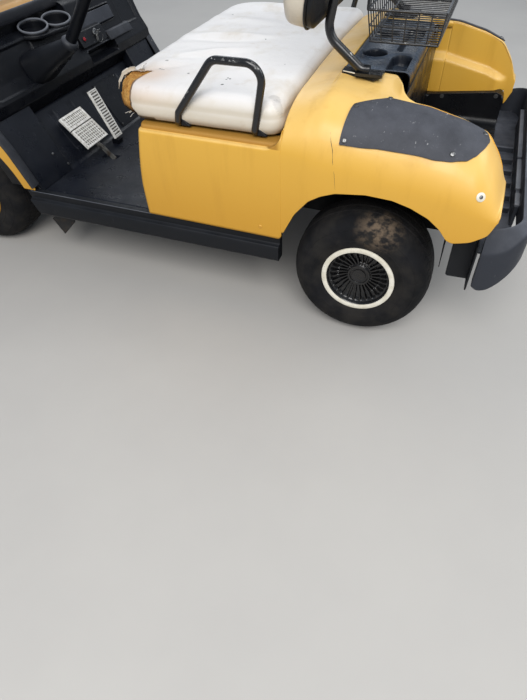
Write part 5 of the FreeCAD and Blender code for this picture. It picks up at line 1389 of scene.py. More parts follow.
def makeBasket():
    form = basketForm

    def corner(front, near, share):
        # share 0 at the floor, 1 at the rim
        foot = np.array([form["footFront"] if front else form["footBack"], near * form["footOut"], form["floorZ"]])
        head = np.array([form["frontX"] if front else form["backX"], near * form["out"], form["rimZ"]])
        return foot + (head - foot) * share

    def between(a, b, count):
        return [a + (b - a) * share for share in np.linspace(0, 1, count)]

    lines, thick = [], []
    for share, group in ((0, thick), (0.5, lines), (1, thick)):
        ring = [corner(True, 1, share), corner(False, 1, share), corner(False, -1, share), corner(True, -1, share)]
        group.extend([[a, b] for a, b in zip(ring, ring[1:] + ring[:1])])
    # uprights of the ends and the rear, and the wires of the floor
    for near in (1, -1):
        lines += zip(between(corner(True, near, 0), corner(False, near, 0), 7), between(corner(True, near, 1), corner(False, near, 1), 7))
    across = int(2 * form["out"] / form["pitch"]) + 1
    lines += zip(between(corner(False, 1, 0), corner(False, -1, 0), across), between(corner(False, 1, 1), corner(False, -1, 1), across))
    lines += zip(between(corner(True, 1, 0), corner(True, -1, 0), 23), between(corner(False, 1, 0), corner(False, -1, 0), 23))
    # the front panel stands taller, with a rounded rim and a second wire below it
    for foot, rim in zip(between(corner(True, 1, 0), corner(True, -1, 0), across), between(corner(True, 1, 1), corner(True, -1, 1), across)):
        head = np.array([form["frontX"], rim[1], form["tallZ"] - (0.012 if abs(rim[1]) > 0.27 else 0)])
        lines.append([foot, rim, head])
    parts = [tubePart(bendPath(line, [0.01], 4) if len(line) == 3 else np.array(line), form["wire"], 7, reference=(0.31, 0.52, 0.79))
             for line in lines]
    parts += [tubePart(np.array(line), form["rim"] * 0.8, 9, reference=(0.31, 0.52, 0.79)) for line in thick]
    side, tall = form["out"], form["tallZ"]
    for level, radius in ((tall, form["rim"]), (tall - 0.030, form["wire"])):
        arch = [(form["frontX"], side, form["rimZ"]), (form["frontX"], side, level), (form["frontX"], -side, level),
                (form["frontX"], -side, form["rimZ"])]
        parts.append(tubePart(bendPath(arch, [0.022, 0.022], 8), radius, 9, reference=(1, 0.01, 0)))
    makePiece("basketWire", parts, enamel, "cart", ["basket"], angle=60)


def makeFrameFeet():
    # dark plate under each foot of the frame, with a worn pale edge and two bolts
    outline = [(-0.588, 0.337), (-0.690, 0.368), (-0.705, 0.345), (-0.690, 0.312), (-0.588, 0.300)]
    makePiece("frameFootPlate", bothSides([prismPart(outline, deckZ - 0.010, deckZ + 0.0012, "z")]), black, "cart",
              bevel=0.0012)
    edge = [(-0.592, 0.339, deckZ + 0.0004), (-0.640, 0.3535, deckZ + 0.0004), (-0.689, 0.3690, deckZ + 0.0004)]
    makePiece("frameFootEdge", bothSides([tubePart(np.array(edge), [0.0012, 0.0022, 0.0012], 8)]), trim, "cart")
    bolts = []
    for x, y in ((-0.655, 0.338), (-0.622, 0.326)):
        bolts += boltPart((x, y, deckZ + 0.0022), (0, 0, 1), 0.0055)
    makePiece("frameFootBolts", bothSides(bolts), zinc, "cart")


makeWheels()
makeFrameFeet()
makeRearBumper()
makeRearFlaps()
makeTray()
makeLiner()
makeBasket()
print("wheels, bumper, well and basket made")


# Dash, column and steering wheel

def profileRows(corners, radii, count):
    # rounded side-view profile, sampled evenly: columns along and height
    path = bendPath([(x, 0, z) for x, z in corners], radii, 14)[:, (0, 2)]
    length = np.concatenate([[0], np.cumsum(np.linalg.norm(np.diff(path, axis=0), axis=1))])
    at = np.linspace(0, length[-1], count)
    return np.column_stack([np.interp(at, length, path[:, 0]), np.interp(at, length, path[:, 1])])


dashLow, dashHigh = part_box("dash_panel")
dashForm = {
    # the face in side view, from the lower lip up to the rim
    "profile": [(0.646, 0.5005), (0.6052, 0.557), (0.6075, 0.590), (0.640, 0.640), (0.662, 0.690), (0.696, 0.776),
                (0.720, 0.794)],
    "radii": [0.012, 0.012, 0.040, 0.090, 0.022], "rows": 130, "columns": 300, "half": dashHigh.y - 0.002,
    # set-in panel right of the column: middle across, height, half width, half height
    "blank": (-0.238, 0.702, 0.138, 0.027), "pocket": (-0.188, 0.592, 0.103, 0.0215),
    "nearPanel": (0.330, 0.665, 0.150, 0.062), "farPanel": (-0.480, 0.690, 0.062, 0.050),
}


def cowlReach(z):
    # inside of the cowl's shoulder at a height
    rise = np.clip(z - 0.725, 0, 0.1)
    return np.where(z > 0.725, 0.470 + np.sqrt(np.maximum(0.1035 ** 2 - rise ** 2, 0)), 0.5735)


def makeDash():
    form = dashForm
    profile = profileRows(form["profile"], form["radii"], form["rows"])
    tangent = unit(np.gradient(profile, axis=0))
    normal = np.column_stack([-tangent[:, 1], tangent[:, 0]])
    across = np.linspace(-1, 1, form["columns"])
    limit = np.minimum(cowlReach(profile[:, 1]), form["half"])
    y = limit[:, None] * across[None, :]
    z = np.broadcast_to(profile[:, 1:], y.shape)
    x = np.broadcast_to(profile[:, :1], y.shape)
    deep = np.zeros(y.shape)
    py, pz, halfY, halfZ = form["blank"]
    away = roundedBoxDistance(y, z, (py, pz), halfY, halfZ, 0.010)
    deep += 0.006 * smoothStep(-away, -0.001, 0.002) - 0.003 * np.exp(-((away - 0.003) / 0.0022) ** 2)
    for key, depth in (("nearPanel", 0.005), ("farPanel", 0.004)):
        py, pz, halfY, halfZ = form[key]
        away = roundedBoxDistance(y, z, (py, pz), halfY, halfZ, 0.014)
        deep += depth * smoothStep(-away, -0.002, 0.004) - 0.0015 * np.exp(-((away - 0.004) / 0.003) ** 2)
    py, pz, halfY, halfZ = form["pocket"]
    away = roundedBoxDistance(y, z, (py, pz), halfY, halfZ, 0.008)
    deep += 0.052 * smoothStep(-away, -0.0005, 0.003)
    # soft waves of the moulding
    deep += 0.0012 * np.sin(y * 21) * smoothStep(z, 0.56, 0.60)
    points = np.stack([x - normal[:, :1] * deep, y, z - normal[:, 1:] * deep * (away > 0.004)], -1)
    # niche over the cup rings
    niche = smoothStep(-roundedBoxDistance(y, z, (0.190, 0.764), 0.275, 0.024, 0.012), -0.002, 0.002)
    points[..., 0] += niche * np.maximum(0.742 - points[..., 0], 0)
    makePiece("dashFace", [gridPart(points)], dashPlastic, "cart", ["dash_panel"], angle=42, wall=0.003)
    # rim round the open pocket, and a grey ledge beside it
    py, pz, halfY, halfZ = form["pocket"]
    rim = np.array([(py + sy * (halfY + 0.003), pz + sz * (halfZ + 0.003)) for sy, sz in
                    ((0, 1), (1, 1), (1, 0), (1, -1), (0, -1), (-1, -1), (-1, 0), (-1, 1), (0, 1))])
    ring = bendPath([(0, a, b) for a, b in rim], [0.010, 1e-4, 0.010, 1e-4, 0.010, 1e-4, 0.010], 6)[:-1]
    ring[:, 0] = np.interp(ring[:, 2], profile[:, 1], profile[:, 0]) - 0.0005
    makePiece("pocketRim", [tubePart(ring, 0.0032, 8, True, (1, 0.02, 0.03))], edgeGrey, "cart")
    ledge = prismPart([(0.612, 0.613), (0.616, 0.622), (0.632, 0.646), (0.652, 0.647), (0.645, 0.612)], -0.448, -0.262)
    makePiece("dashLedge", [ledge], edgeGrey, "cart", bevel=0.004)
    slope = unit(np.array([0.022, 0, 0.054]))
    out = np.array([-slope[2], 0, slope[0]])
    plate = turned(boxPart((-0.026, -0.137, -0.002), (0.026, 0.137, 0.0035)), (0.6665, -0.238, 0.702),
                   np.column_stack([slope, (0, 1.0, 0), out]))
    makePiece("dashBlankPlate", [plate], bumperBlack, "cart", bevel=0.002)


shelfForm = {"rings": ((0.680, 0.130), (0.662, 0.010)), "ring": 0.054, "edge": 0.0042, "cupDepth": 0.034, "top": 0.757,
             "plate": (0.724, 0.738), "reach": 0.062, "tilt": (-0.16, 0.16, 0.97)}


def makeShelf():
    # ledge with two open cup rings above the knees; the rings tilt a little towards the driver
    form = shelfForm
    turn = np.linspace(0, 2 * np.pi, 48, endpoint=False)
    around = np.column_stack([np.cos(turn), np.sin(turn)])
    points = np.vstack([around * form["reach"] + centre for centre in form["rings"]] + [[(0.742, 0.215), (0.742, -0.080)]])
    # outline that wraps both rings: the farthest point in each direction
    hull = []
    for direction in around:
        point = points[np.argmax(points @ direction)]
        if not hull or np.abs(point - hull[-1]).max() > 1e-6:
            hull.append(point)
    plate = prismPart(hull, *form["plate"], "z")
    makePiece("dashShelf", [plate], dashPlastic, "cart", bevel=0.004)
    normal = unit(np.array(form["tilt"]))
    rings, cups = [], []
    for x, y in form["rings"]:
        place, axes = (x, y, form["top"]), frameFor(normal)
        tube = np.column_stack([around * form["ring"], 0 * turn])
        rings.append(turned(tubePart(tube, form["edge"], 12, True, (0, 0, 1)), place, axes))
        cup = [(form["ring"] - 0.001, 0.001), (form["ring"] - 0.002, -0.010), (form["ring"] - 0.007, -form["cupDepth"]),
               (0.0005, -form["cupDepth"] - 0.001)]
        wall = [(form["ring"] + 0.003, -0.0015), (form["ring"] + 0.001, -0.018)]
        grid = np.array([[(r * c, r * s, h) for c, s in around] for r, h in cup])
        outer = np.array([[(r * c, r * s, h) for c, s in around] for r, h in wall])
        cups += [turned(gridPart(grid, False, True, flip=True), place, axes), turned(gridPart(outer, False, True), place, axes)]
    makePiece("cupRings", rings, paleEdge, "cart", angle=60)
    makePiece("cupHolders", cups, dashPlastic, "cart", angle=50, wall=0.001)


keyForm = {"low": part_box("key_panel")[0], "high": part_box("key_panel")[1]}


def makeKeyPanel():
    # slanted box with a lamp, a key switch and a key on its ring
    low, high = keyForm["low"], keyForm["high"]
    y0, y1 = low.y + 0.001, high.y - 0.001
    outline = [(0.6095, 0.633), (0.6365, 0.6865), (0.6610, 0.6885), (0.6395, 0.641)]
    face = np.array([0.6365 - 0.6095, 0, 0.6865 - 0.633])
    normal = unit(np.cross(face, (0, 1.0, 0)))
    normal = normal if normal[0] < 0 else -normal
    makePiece("keyPanelBox", [prismPart(outline, y0, y1)], dashPlastic, "cart", ["key_panel"], bevel=0.003)

    def onFace(y, share):
        return np.array([0.6095, y, 0.633]) + face * share

    turn = frameFor(normal)
    bezel = [(0.0125, -0.001), (0.0125, 0.0014), (0.0110, 0.0022), (0.0098, 0.0012), (0.0004, 0.0012)]
    lamp = [(0.0078, 0.0), (0.0078, 0.0020), (0.0060, 0.0042), (0.0030, 0.0052), (0.0004, 0.0055)]
    switch = [(0.0150, -0.001), (0.0150, 0.0030), (0.0128, 0.0042), (0.0100, 0.0042), (0.0092, 0.0028), (0.0004, 0.0028)]
    place = onFace(-0.086, 0.52)
    makePiece("warningLamp", [turned(lathePart(lamp, (0, 0, 0), 28, "z", slot=1), place, turn),
                              turned(lathePart(bezel, (0, 0, 0), 28, "z"), place, turn)], [dashPlastic, redLamp],
              "cart")
    lock = onFace(-0.172, 0.62)
    head = lock + normal * 0.016
    blade = boxPart((-0.001, -0.0035, 0.002), (0.001, 0.0035, 0.012))
    bow = turned(lathePart([(0.0110, -0.0011), (0.0114, 0), (0.0110, 0.0011), (0.0004, 0.0012)], (0, 0, 0), 24, "x"),
                 (0, 0, 0.019), np.eye(3))
    angle = np.linspace(0, 2 * np.pi, 40, endpoint=False)
    ring = np.column_stack([0.0035 * np.sin(angle), 0.0165 * np.sin(angle), 0.0185 * np.cos(angle)])
    hang = head + np.array([-0.003, -0.004, -0.024])
    small = np.column_stack([0.007 * np.cos(angle), 0.004 * np.sin(angle), 0.009 * np.sin(angle)])
    tag = prismPart([(-0.008, -0.006), (-0.006, -0.013), (0.006, -0.013), (0.008, -0.006), (0.004, 0.012), (-0.004, 0.012)],
                    -0.0012, 0.0012, "x")
    parts = [turned(lathePart(switch, (0, 0, 0), 32, "z"), lock, turn), turned(blade, lock, turn), turned(bow, lock, turn),
             tubePart(ring + hang, 0.0011, 8, True, (1, 0.2, 0)), tubePart(small + head + (0, 0.006, -0.006), 0.0009, 8, True, (0.3, 1, 0.2)),
             turned(tag, head + (0.001, 0.010, -0.022), np.eye(3))]
    makePiece("keyAndLock", parts, zinc, "cart", bevel=0.0003)


columnForm = {"base": np.array([0.463, 0.205, 0.736]), "slope": math.radians(52), "below": 0.230, "reach": 0.3335,
              "tube": 0.0205, "wheelAt": 0.372, "rim": 0.178 - 0.013, "rimTube": 0.0128}


def columnAxes():
    slope = columnForm["slope"]
    axis = np.array([-math.cos(slope), 0, math.sin(slope)])
    return np.column_stack([np.cross((0, 1.0, 0), axis), (0, 1.0, 0), axis])


def makeColumn():
    # tube out of a tapered cover that grows out of the dash, with a rounded collar where it leaves it
    form = columnForm
    profile = [(0.0205, -0.060), (0.0205, 0.180), (0.0209, 0.182), (0.0209, 0.196), (0.0205, 0.198),
               (0.0205, form["reach"] - 0.002), (0.0190, form["reach"])]
    axes = columnAxes()
    tube = turned(lathePart(profile, (0, 0, 0), 40, "z"), form["base"], axes)
    makePiece("steeringColumnTube", [tube], dashPlastic, "cart", ["steering_column"], angle=30)
    collar = [(0.0205, -0.016), (0.0290, -0.014), (0.0320, -0.006), (0.0315, 0.001), (0.0280, 0.007), (0.0240, 0.010), (0.0208, 0.0115)]
    makePiece("columnCollar", [turned(lathePart(collar, (0, 0, 0), 40, "z"), form["base"], axes)], edgeGrey, "cart")
    angle = np.linspace(0, 2 * np.pi, 48, endpoint=False)
    c, s = np.cos(angle)[:, None], np.sin(angle)[:, None]
    start = form["base"] - axes[:, 2] * 0.008 + 0.0290 * (c * axes[:, 0] + s * axes[:, 1])
    wide, tall = roundedRing(48, 3.4)
    end = np.array([0.640, 0.205, 0.640]) + 0.060 * wide[:, None] * np.array([0.45, 0, 0.89]) + 0.078 * tall[:, None] * np.array([0, 1.0, 0])
    share = np.linspace(0, 1, 26)[:, None, None]
    cover = start[None] * (1 - share) + end[None] * share
    makePiece("columnCover", [withCaps(gridPart(cover, False, True), 26, 48)], dashPlastic, "cart", angle=50)


def makeSteeringWheel():
    # rim with finger waves on its far side, three dished spokes and a padded hub
    form = columnForm
    angle = np.linspace(0, 2 * np.pi, 180, endpoint=False)
    wave = 1 - 0.05 * (1 + np.cos(angle * 30)) / 2
    path = np.column_stack([np.cos(angle), np.sin(angle), 0 * angle]) * form["rim"]
    rim = tubePart(path, form["rimTube"] * wave, 18, True, (0, 0, 1))
    hub = lathePart([(0.030, -0.0378), (0.034, -0.036), (0.0405, -0.020), (0.0415, -0.010), (0.040, -0.004),
                     (0.036, -0.0015), (0.020, -0.0005), (0.0006, 0.0)], (0, 0, -0.004), 48, "z")
    parts = [rim, hub]
    for turn in (90, 210, 330):
        c, s = math.cos(math.radians(turn)), math.sin(math.radians(turn))
        along = np.array([0.034, 0.060, 0.100, 0.140, form["rim"] - 0.004])
        spine = np.column_stack([along * c, along * s, np.array([-0.0085, -0.0080, -0.0072, -0.0065, -0.0060])])
        spoke = tubePart(spine, [0.0148, 0.0135, 0.0125, 0.0130, 0.0145], 20, reference=(0, 0, 1), flat=0.26)
        parts.append(spoke)
    place = form["base"] + columnAxes()[:, 2] * form["wheelAt"]
    makePiece("steeringWheelRim", [turned(part, place, columnAxes()) for part in parts], wheelGrip, "steering_wheel",
              ["steering_wheel"], angle=50)


# Pedals

def plateFrame(normal):
    # axes of a pad: up its slope, across to the left, and out of its face
    normal = unit(np.asarray(normal, float))
    left = np.array([0, 1.0, 0])
    return np.column_stack([np.cross(left, normal), left, normal])


def padPart(length, width, thick, deep, pitchU, pitchV, border, bar, slots=0):
    # pad with a raised frame and a grid of small blocks; length runs up the slope
    u = np.linspace(-length / 2 + 0.0008, length / 2 - 0.0008, int(length / 0.0011))
    v = np.linspace(-width / 2 + 0.0008, width / 2 - 0.0008, int(width / 0.0011))
    gu, gv = np.meshgrid(u, v, indexing="ij")
    edge = np.minimum(length / 2 - np.abs(gu), width / 2 - np.abs(gv))
    inside = smoothStep(edge, border, border + 0.0008)
    bars = np.zeros_like(gu)
    if pitchU:
        bars = np.maximum(bars, 1 - smoothStep(np.abs((gu / pitchU + 0.5) % 1 - 0.5) * pitchU, bar / 2, bar / 2 + 0.0008))
    if pitchV:
        bars = np.maximum(bars, 1 - smoothStep(np.abs((gv / pitchV + 0.5) % 1 - 0.5) * pitchV, bar / 2, bar / 2 + 0.0008))
    h = -deep * inside * (1 - bars) - 0.0012 * (1 - smoothStep(edge, 0, 0.0016))
    face = np.stack([gu, gv, h], -1)
    ring = np.concatenate([face[0, :-1], face[:-1, -1], face[-1, :0:-1], face[:0:-1, 0]])
    skirt = np.stack([ring, ring * (1, 1, 0) + (0, 0, -thick)], 0)
    side = gridPart(skirt, False, True)
    back = (np.vstack([skirt[1], [[0, 0, -thick]]]), [[i, (i + 1) % len(ring), len(ring)] for i in range(len(ring))], 0)
    return [gridPart(face), side, back]


def grooveMarks(parts, deep):
    # 1 in the hollows of a pad's face, 0 on its blocks, sides and back
    hollow = smoothStep(-parts[0][0][:, 2], deep * 0.3, deep * 0.8)
    return np.concatenate([hollow] + [np.zeros(len(part[0])) for part in parts[1:]])


def armPart(path, wide, tall):
    # flat steel bar along a path in side view
    path = np.asarray(path, float)
    along = unit(np.gradient(path, axis=0))
    upper = np.column_stack([-along[:, 2], 0 * along[:, 0], along[:, 0]])
    corners = [(-1, -1), (1, -1), (1, 1), (-1, 1)]
    rings = np.stack([path + np.array([0, sy * wide / 2, 0]) + upper * (sz * tall / 2) for sy, sz in corners], 1)
    return withCaps(gridPart(rings, False, True), len(path), 4)


def makePedals():
    slope = plateFrame((-0.69, 0, 0.72))
    lowerAt, upperAt = np.array([0.486, 0.198, 0.398]), np.array([0.5415, 0.198, 0.4515])
    lower = padPart(0.088, 0.144, 0.010, 0.0030, 0.0125, 0.0125, 0.0052, 0.0034)
    upper = padPart(0.060, 0.144, 0.010, 0.0046, 0, 0, 0.0100, 0.0)
    inset = padPart(0.040, 0.124, 0.003, 0.0018, 0.0110, 0.0110, 0.001, 0.0036)
    marks = np.concatenate([grooveMarks(lower, 0.0030), grooveMarks(upper, 0.0046) * 0.6, grooveMarks(inset, 0.0018)])
    pads = [turned(part, lowerAt, slope) for part in lower] + [turned(part, upperAt, slope) for part in upper]
    pads += [turned(part, upperAt - slope[:, 2] * 0.0026, slope) for part in inset]
    makePiece("brakePads", pads, padRubber, "cart", ["brake_pedal"], angle=30, marks={"groove": marks})
    arm = [(0.389, 0, 0.302), (0.412, 0, 0.322), (0.438, 0, 0.346), (0.490, 0, 0.378), (0.560, 0, 0.428), (0.590, 0, 0.447)]
    arms = []
    for y in (0.1985, 0.2075):
        arms.append(armPart(np.array(arm) + (0, y, 0), 0.0028, 0.014))
    plate = turned(boxPart((-0.040, -0.026, -0.0165), (0.095, 0.026, -0.0115)), lowerAt, slope)
    makePiece("brakeArm", arms + [plate], wornSteel, "cart", bevel=0.0006)
    tilt = plateFrame((-0.905, 0, 0.423))
    tread = padPart(0.203, 0.053, 0.010, 0.0036, 0.0115, 0, 0.0052, 0.0052)
    makePiece("acceleratorTread", [turned(part, (0.481, 0.073, 0.432), tilt) for part in tread], padRubber, "cart",
              ["accelerator_pedal"], angle=30, marks={"groove": grooveMarks(tread, 0.0036)})
    back = turned(boxPart((-0.098, -0.020, -0.0118), (0.098, 0.020, -0.0100)), (0.481, 0.073, 0.432), tilt)
    foot = boxPart((0.437, 0.056, 0.3105), (0.469, 0.090, 0.330))
    link = armPart([(0.448, 0.073, 0.322), (0.470, 0.073, 0.352), (0.490, 0.073, 0.395)], 0.014, 0.008)
    makePiece("acceleratorFoot", [back, foot, link], dashPlastic, "cart", bevel=0.0015)


# Floor, toe board and kick panel

floorForm = {"low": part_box("floor_pan")[0], "high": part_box("floor_pan")[1], "top": 0.310, "seam": 0.504,
             "run": 0.136, "rise": 0.190, "half": 0.543, "house": 0.360, "slot": (0.372, 0.440, 0.186, 0.220)}


def makeFloorPan():
    form = floorForm
    top, seam, half = form["top"], form["seam"], form["half"] - 0.001
    # one moulding: flat floor, a soft bend, then the toe board; columns run across
    corners = [(form["low"].x + 0.001, top - 0.0006), (seam, top - 0.0006), (seam + form["run"], top + form["rise"] - 0.001),
               (form["high"].x - 0.001, top + form["rise"] - 0.001)]
    profile = profileRows(corners, [0.030, 0.004], 190)
    tangent = unit(np.gradient(profile, axis=0))
    normal = np.column_stack([-tangent[:, 1], tangent[:, 0]])
    y = np.linspace(-half, half, 300)[None, :] + 0 * profile[:, :1]
    x, z = np.broadcast_to(profile[:, :1], y.shape), np.broadcast_to(profile[:, 1:], y.shape)
    onFloor = 1 - smoothStep(x, seam - 0.03, seam - 0.01)
    matEdge = np.minimum(half - 0.016 - np.abs(y), x - form["low"].x - 0.010)
    deep = 0.0022 * (1 - smoothStep(matEdge, -0.001, 0.0015)) * onFloor
    # broad pressed ribs up the toe board, and the edge of the mat at its seam
    ribs = smoothStep(np.cos(y * 2 * np.pi / 0.118), 0.55, 0.80) * (np.abs(y) < 0.50)
    deep += 0.0034 * ribs * smoothStep(x, seam + 0.020, seam + 0.035) * smoothStep(-x, -seam - 0.128, -seam - 0.112)
    deep += 0.0016 * np.exp(-((x - seam + 0.012) / 0.0018) ** 2)
    slotX0, slotX1, slotY0, slotY1 = form["slot"]
    inSlot = (x > slotX0) & (x < slotX1) & (y > slotY0) & (y < slotY1)
    deep += 0.0105 * inSlot
    points = np.stack([x - normal[:, :1] * deep, y, z - normal[:, 1:] * deep], -1)
    makePiece("floorMoulding", [gridPart(points, flip=True)], floorRubber, "cart", ["floor_pan"], angle=48,
              recalculate=False, wall=0.0012)
    # raised house beside each front wheel: top face and inner face with a bright fold between them
    houses = []
    outline = [(0.4935, top), (0.634, 0.598), (0.644, 0.606), (0.668, 0.600), (seam + form["run"] - 0.008, top + form["rise"] - 0.009),
               (seam, top)]
    block = prismPart(outline, 0.352, half - 0.0005)
    houses.append(block)
    makePiece("wheelHouse", bothSides(houses), floorRubber, "cart", bevel=0.006)
    # plate screwed to the toe board behind the pedals
    along = unit(np.array([form["run"], 0, form["rise"]]))
    up = np.array([-along[2], 0, along[0]])
    turn = np.column_stack([along, (0, 1.0, 0), up])
    plates = [turned(boxPart((0, -0.085, 0.0006), (0.205, 0.085, 0.0032)), (seam + 0.004, -0.148, top + 0.0066), turn)]
    makePiece("toePlate", plates, dashPlastic, "cart", bevel=0.0012)
    screws = [screwPart(np.array([seam + 0.004, 0, top + 0.0066]) + along * a + up * 0.0034 + (0, b, 0), up, 0.0042)
              for a, b in ((0.195, -0.072), (0.195, -0.224), (0.012, -0.072), (0.012, -0.224))]
    for x, y in ((0.5325, 0.395), (0.5060, 0.356)):
        screws.append(screwPart((x - 0.0005, y, top + (x - 0.4935) * 2.05), (-0.90, 0, 0.44), 0.0052))
    screws.append(screwPart((0.255, 0.225, 0.3112), (0, 0, 1), 0.0042))
    makePiece("floorScrews", screws, zinc, "cart")


def makeKickPanel():
    # panel under the seat's front edge with a shallow pressed field
    low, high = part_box("kick_panel")
    profile = profileRows([(high.x - 0.001, low.z + 0.001), (high.x - 0.001, 0.420), (high.x - 0.0265, high.z - 0.001)],
                          [0.05], 60)
    y = np.linspace(low.y + 0.001, high.y - 0.001, 160)[None, :] + 0 * profile[:, :1]
    z = np.broadcast_to(profile[:, 1:], y.shape)
    away = roundedBoxDistance(y, z, (0, 0.465), 0.44, 0.105, 0.03)
    x = profile[:, :1] - 0.005 * smoothStep(-away, -0.003, 0.006)
    makePiece("kickPanelFace", [gridPart(np.stack([x + 0 * y, y, z], -1), flip=True)], black, "cart",
              ["kick_panel"], angle=45, recalculate=True, wall=0.003)


# Rocker panels: a double step along the top

def makeSills():
    low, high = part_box("sill_left")
    step = 0.022
    bottomFront = 0.505

    def endX(z):
        return np.interp(z, [low.z, high.z], [bottomFront, high.x])

    rows = [(low.y + 0.001, low.z + 0.001), (high.y - 0.006, low.z + 0.001), (high.y - 0.001, low.z + 0.007),
            (high.y - 0.001, 0.289), (high.y - 0.004, 0.294), (high.y - 0.013, 0.296), (high.y - 0.017, 0.299),
            (high.y - 0.018, high.z - 0.004), (high.y - 0.021, high.z - 0.0012), (low.y + 0.004, high.z - 0.0012),
            (low.y + 0.001, high.z - 0.005)]
    stations = [low.x + 0.001, *np.linspace(low.x + 0.02, step - 0.001, 24), *np.linspace(step + 0.001, 0.49, 24), 0.5, 1]
    grid = []
    for x in stations:
        ring = []
        for y, z in rows:
            level = min(z, 0.323) if x > step else min(z, 0.3235 - 0.0)
            place = endX(level) - 0.001 if x == 1 else min(x, endX(level) - 0.003)
            ring.append((place, y, level))
        grid.append(ring)
    part = withCaps(gridPart(np.array(grid), False, True), len(stations), len(rows))
    for name, piece in (("left", part), ("right", mirrored(part))):
        makePiece("rocker" + name.capitalize(), [piece], rockerBlack, "cart", ["sill_" + name], bevel=0.0016)
    # pale line along the top edge of each rocker
    line = [(x, high.y - 0.0195, min(0.3226, high.z) - 0.0006) for x in np.linspace(low.x + 0.02, 0.53, 30)]
    makePiece("rockerPaleTopLine", bothSides([tubePart(np.array(line), 0.0011, 6)]), paleEdge, "cart")


# Front cowl

cowlLow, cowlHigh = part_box("front_cowl")
cowlForm = {
    "wall": 0.0045, "shoulder": 0.110, "archX": 0.888, "archZ": 0.2405, "archRound": 0.345, "bottom": cowlLow.z + 0.001,
    # along the cart: height of the top, half width, round of the shoulder
    "sections": np.array([(0.720, 0.8340, 0.5790, 0.110), (0.765, 0.8340, 0.5790, 0.110), (0.900, 0.8150, 0.5785, 0.115),
                          (0.980, 0.7790, 0.5740, 0.120), (1.040, 0.7330, 0.5600, 0.125), (1.090, 0.6800, 0.5380, 0.125),
                          (1.128, 0.6200, 0.5120, 0.115), (1.150, 0.5600, 0.4920, 0.090), (1.163, 0.5000, 0.4740, 0.060),
                          (1.1700, 0.4400, 0.4560, 0.032), (1.1715, 0.4050, 0.4440, 0.018)]),
    # rear edge of the side: along, height
    "rearEdge": np.array([(0.503, 0.333), (0.558, 0.472), (0.647, 0.620), (0.690, 0.740), (0.722, 0.802), (0.735, 0.830)]),
}


def cowlSection(x):
    table = cowlForm["sections"]
    top, out, radius = [eased(x, table[:, 0], table[:, i], 0.004) for i in (1, 2, 3)]
    return top, out, radius


def cowlBottom(x):
    arch = cowlForm["archZ"] + np.sqrt(np.maximum(cowlForm["archRound"] ** 2 - (x - cowlForm["archX"]) ** 2, 0))
    inArch = np.abs(x - cowlForm["archX"]) < cowlForm["archRound"]
    rise = np.maximum(cowlForm["bottom"], np.where(inArch, arch, 0))
    return rise + 0.012 * smoothStep(x, 1.13, 1.17)


def cowlSide(x, z, top, out, radius):
    # side of the cowl, slightly crowned, rounding in to the top
    turn = np.clip((z - (top - radius)) / radius, 0, 1)
    crown = 0.006 * np.clip((0.62 - z) / 0.3, 0, 1) ** 2
    return out - radius * (1 - np.sqrt(np.maximum(1 - turn ** 2, 0))) - crown


def makeCowl():
    parts = []
    # ahead of the rear top edge: up the side, round the shoulder and over to the middle
    steps = np.concatenate([np.linspace(0.722, 1.02, 110), 1.02 + (1.1715 - 1.02) * np.sin(np.linspace(0, np.pi / 2, 60))[1:]])
    top, out, radius = cowlSection(steps)
    low = np.minimum(cowlBottom(steps), top - radius - 0.004)
    rows = []
    share = np.linspace(0, 1, 44)[None, :]
    z = low[:, None] + (top - radius - low)[:, None] * share
    y = cowlSide(steps[:, None], z, top[:, None], out[:, None], radius[:, None])
    rows.append(np.stack([steps[:, None] + 0 * z, y, z], -1))
    turn = np.linspace(0, np.pi / 2, 15)[None, 1:]
    z = (top - radius)[:, None] + radius[:, None] * np.sin(turn)
    y = (out - radius)[:, None] + radius[:, None] * np.cos(turn)
    rows.append(np.stack([steps[:, None] + 0 * z, y, z], -1))
    share = np.linspace(0, 1, 40)[None, 1:]
    y = (out - radius)[:, None] * (1 - share)
    z = top[:, None] - 0.0 * y
    rows.append(np.stack([steps[:, None] + 0 * y, y, z], -1))
    skin = np.concatenate(rows, 1)
    # rear top edge rounds down; a long raised panel runs over the hood
    fall = 0.030 * (1 - smoothStep(skin[..., 0], 0.715, 0.768)) * smoothStep(skin[..., 2], 0.70, 0.80)
    skin[..., 2] -= fall
    field = roundedBoxDistance(skin[..., 0], skin[..., 1], (0.86, 0), 0.26, 0.30, 0.12)
    flat = smoothStep(skin[..., 2] - top[:, None], -0.05, -0.01)
    skin[..., 2] -= 0.007 * smoothStep(-field, -0.004, 0.014) * flat * smoothStep(skin[..., 0], 0.74, 0.78)
    nose = skin[-1:].copy()
    parts.append(gridPart(skin, flip=True))
    # nose closes with a low crowned face
    rings = [nose[0]]
    middle = np.array([cowlHigh.x - 0.0008, 0, (nose[0, :, 2].max() + nose[0, :, 2].min()) / 2])
    for step in (0.02, 0.10, 0.4, 0.7, 0.97):
        ring = nose[0] + (middle - nose[0]) * step
        ring[:, 1] = nose[0, :, 1] * (1 - step * 0.995)
        rings.append(ring)
    parts.append(gridPart(np.array(rings), flip=True))
    # behind: the side runs on down to its leaning rear edge
    steps = np.linspace(0.5045, 0.722, 64)
    top, out, radius = cowlSection(np.maximum(steps, 0.722))
    upper = np.interp(steps, cowlForm["rearEdge"][:, 0], cowlForm["rearEdge"][:, 1])
    low = np.minimum(cowlBottom(steps), upper - 0.004)
    share = np.linspace(0, 1, 70)[None, :]
    z = low[:, None] + (upper - low)[:, None] * share
    y = cowlSide(steps[:, None], z, top[:, None], out[:, None], radius[:, None])
    parts.append(gridPart(np.stack([steps[:, None] + 0 * z, y, z], -1), flip=True))
    makePiece("frontCowlSkin", bothSides(parts), yellow, "cart", ["front_cowl"], angle=50,
              recalculate=False, wall=cowlForm["wall"])


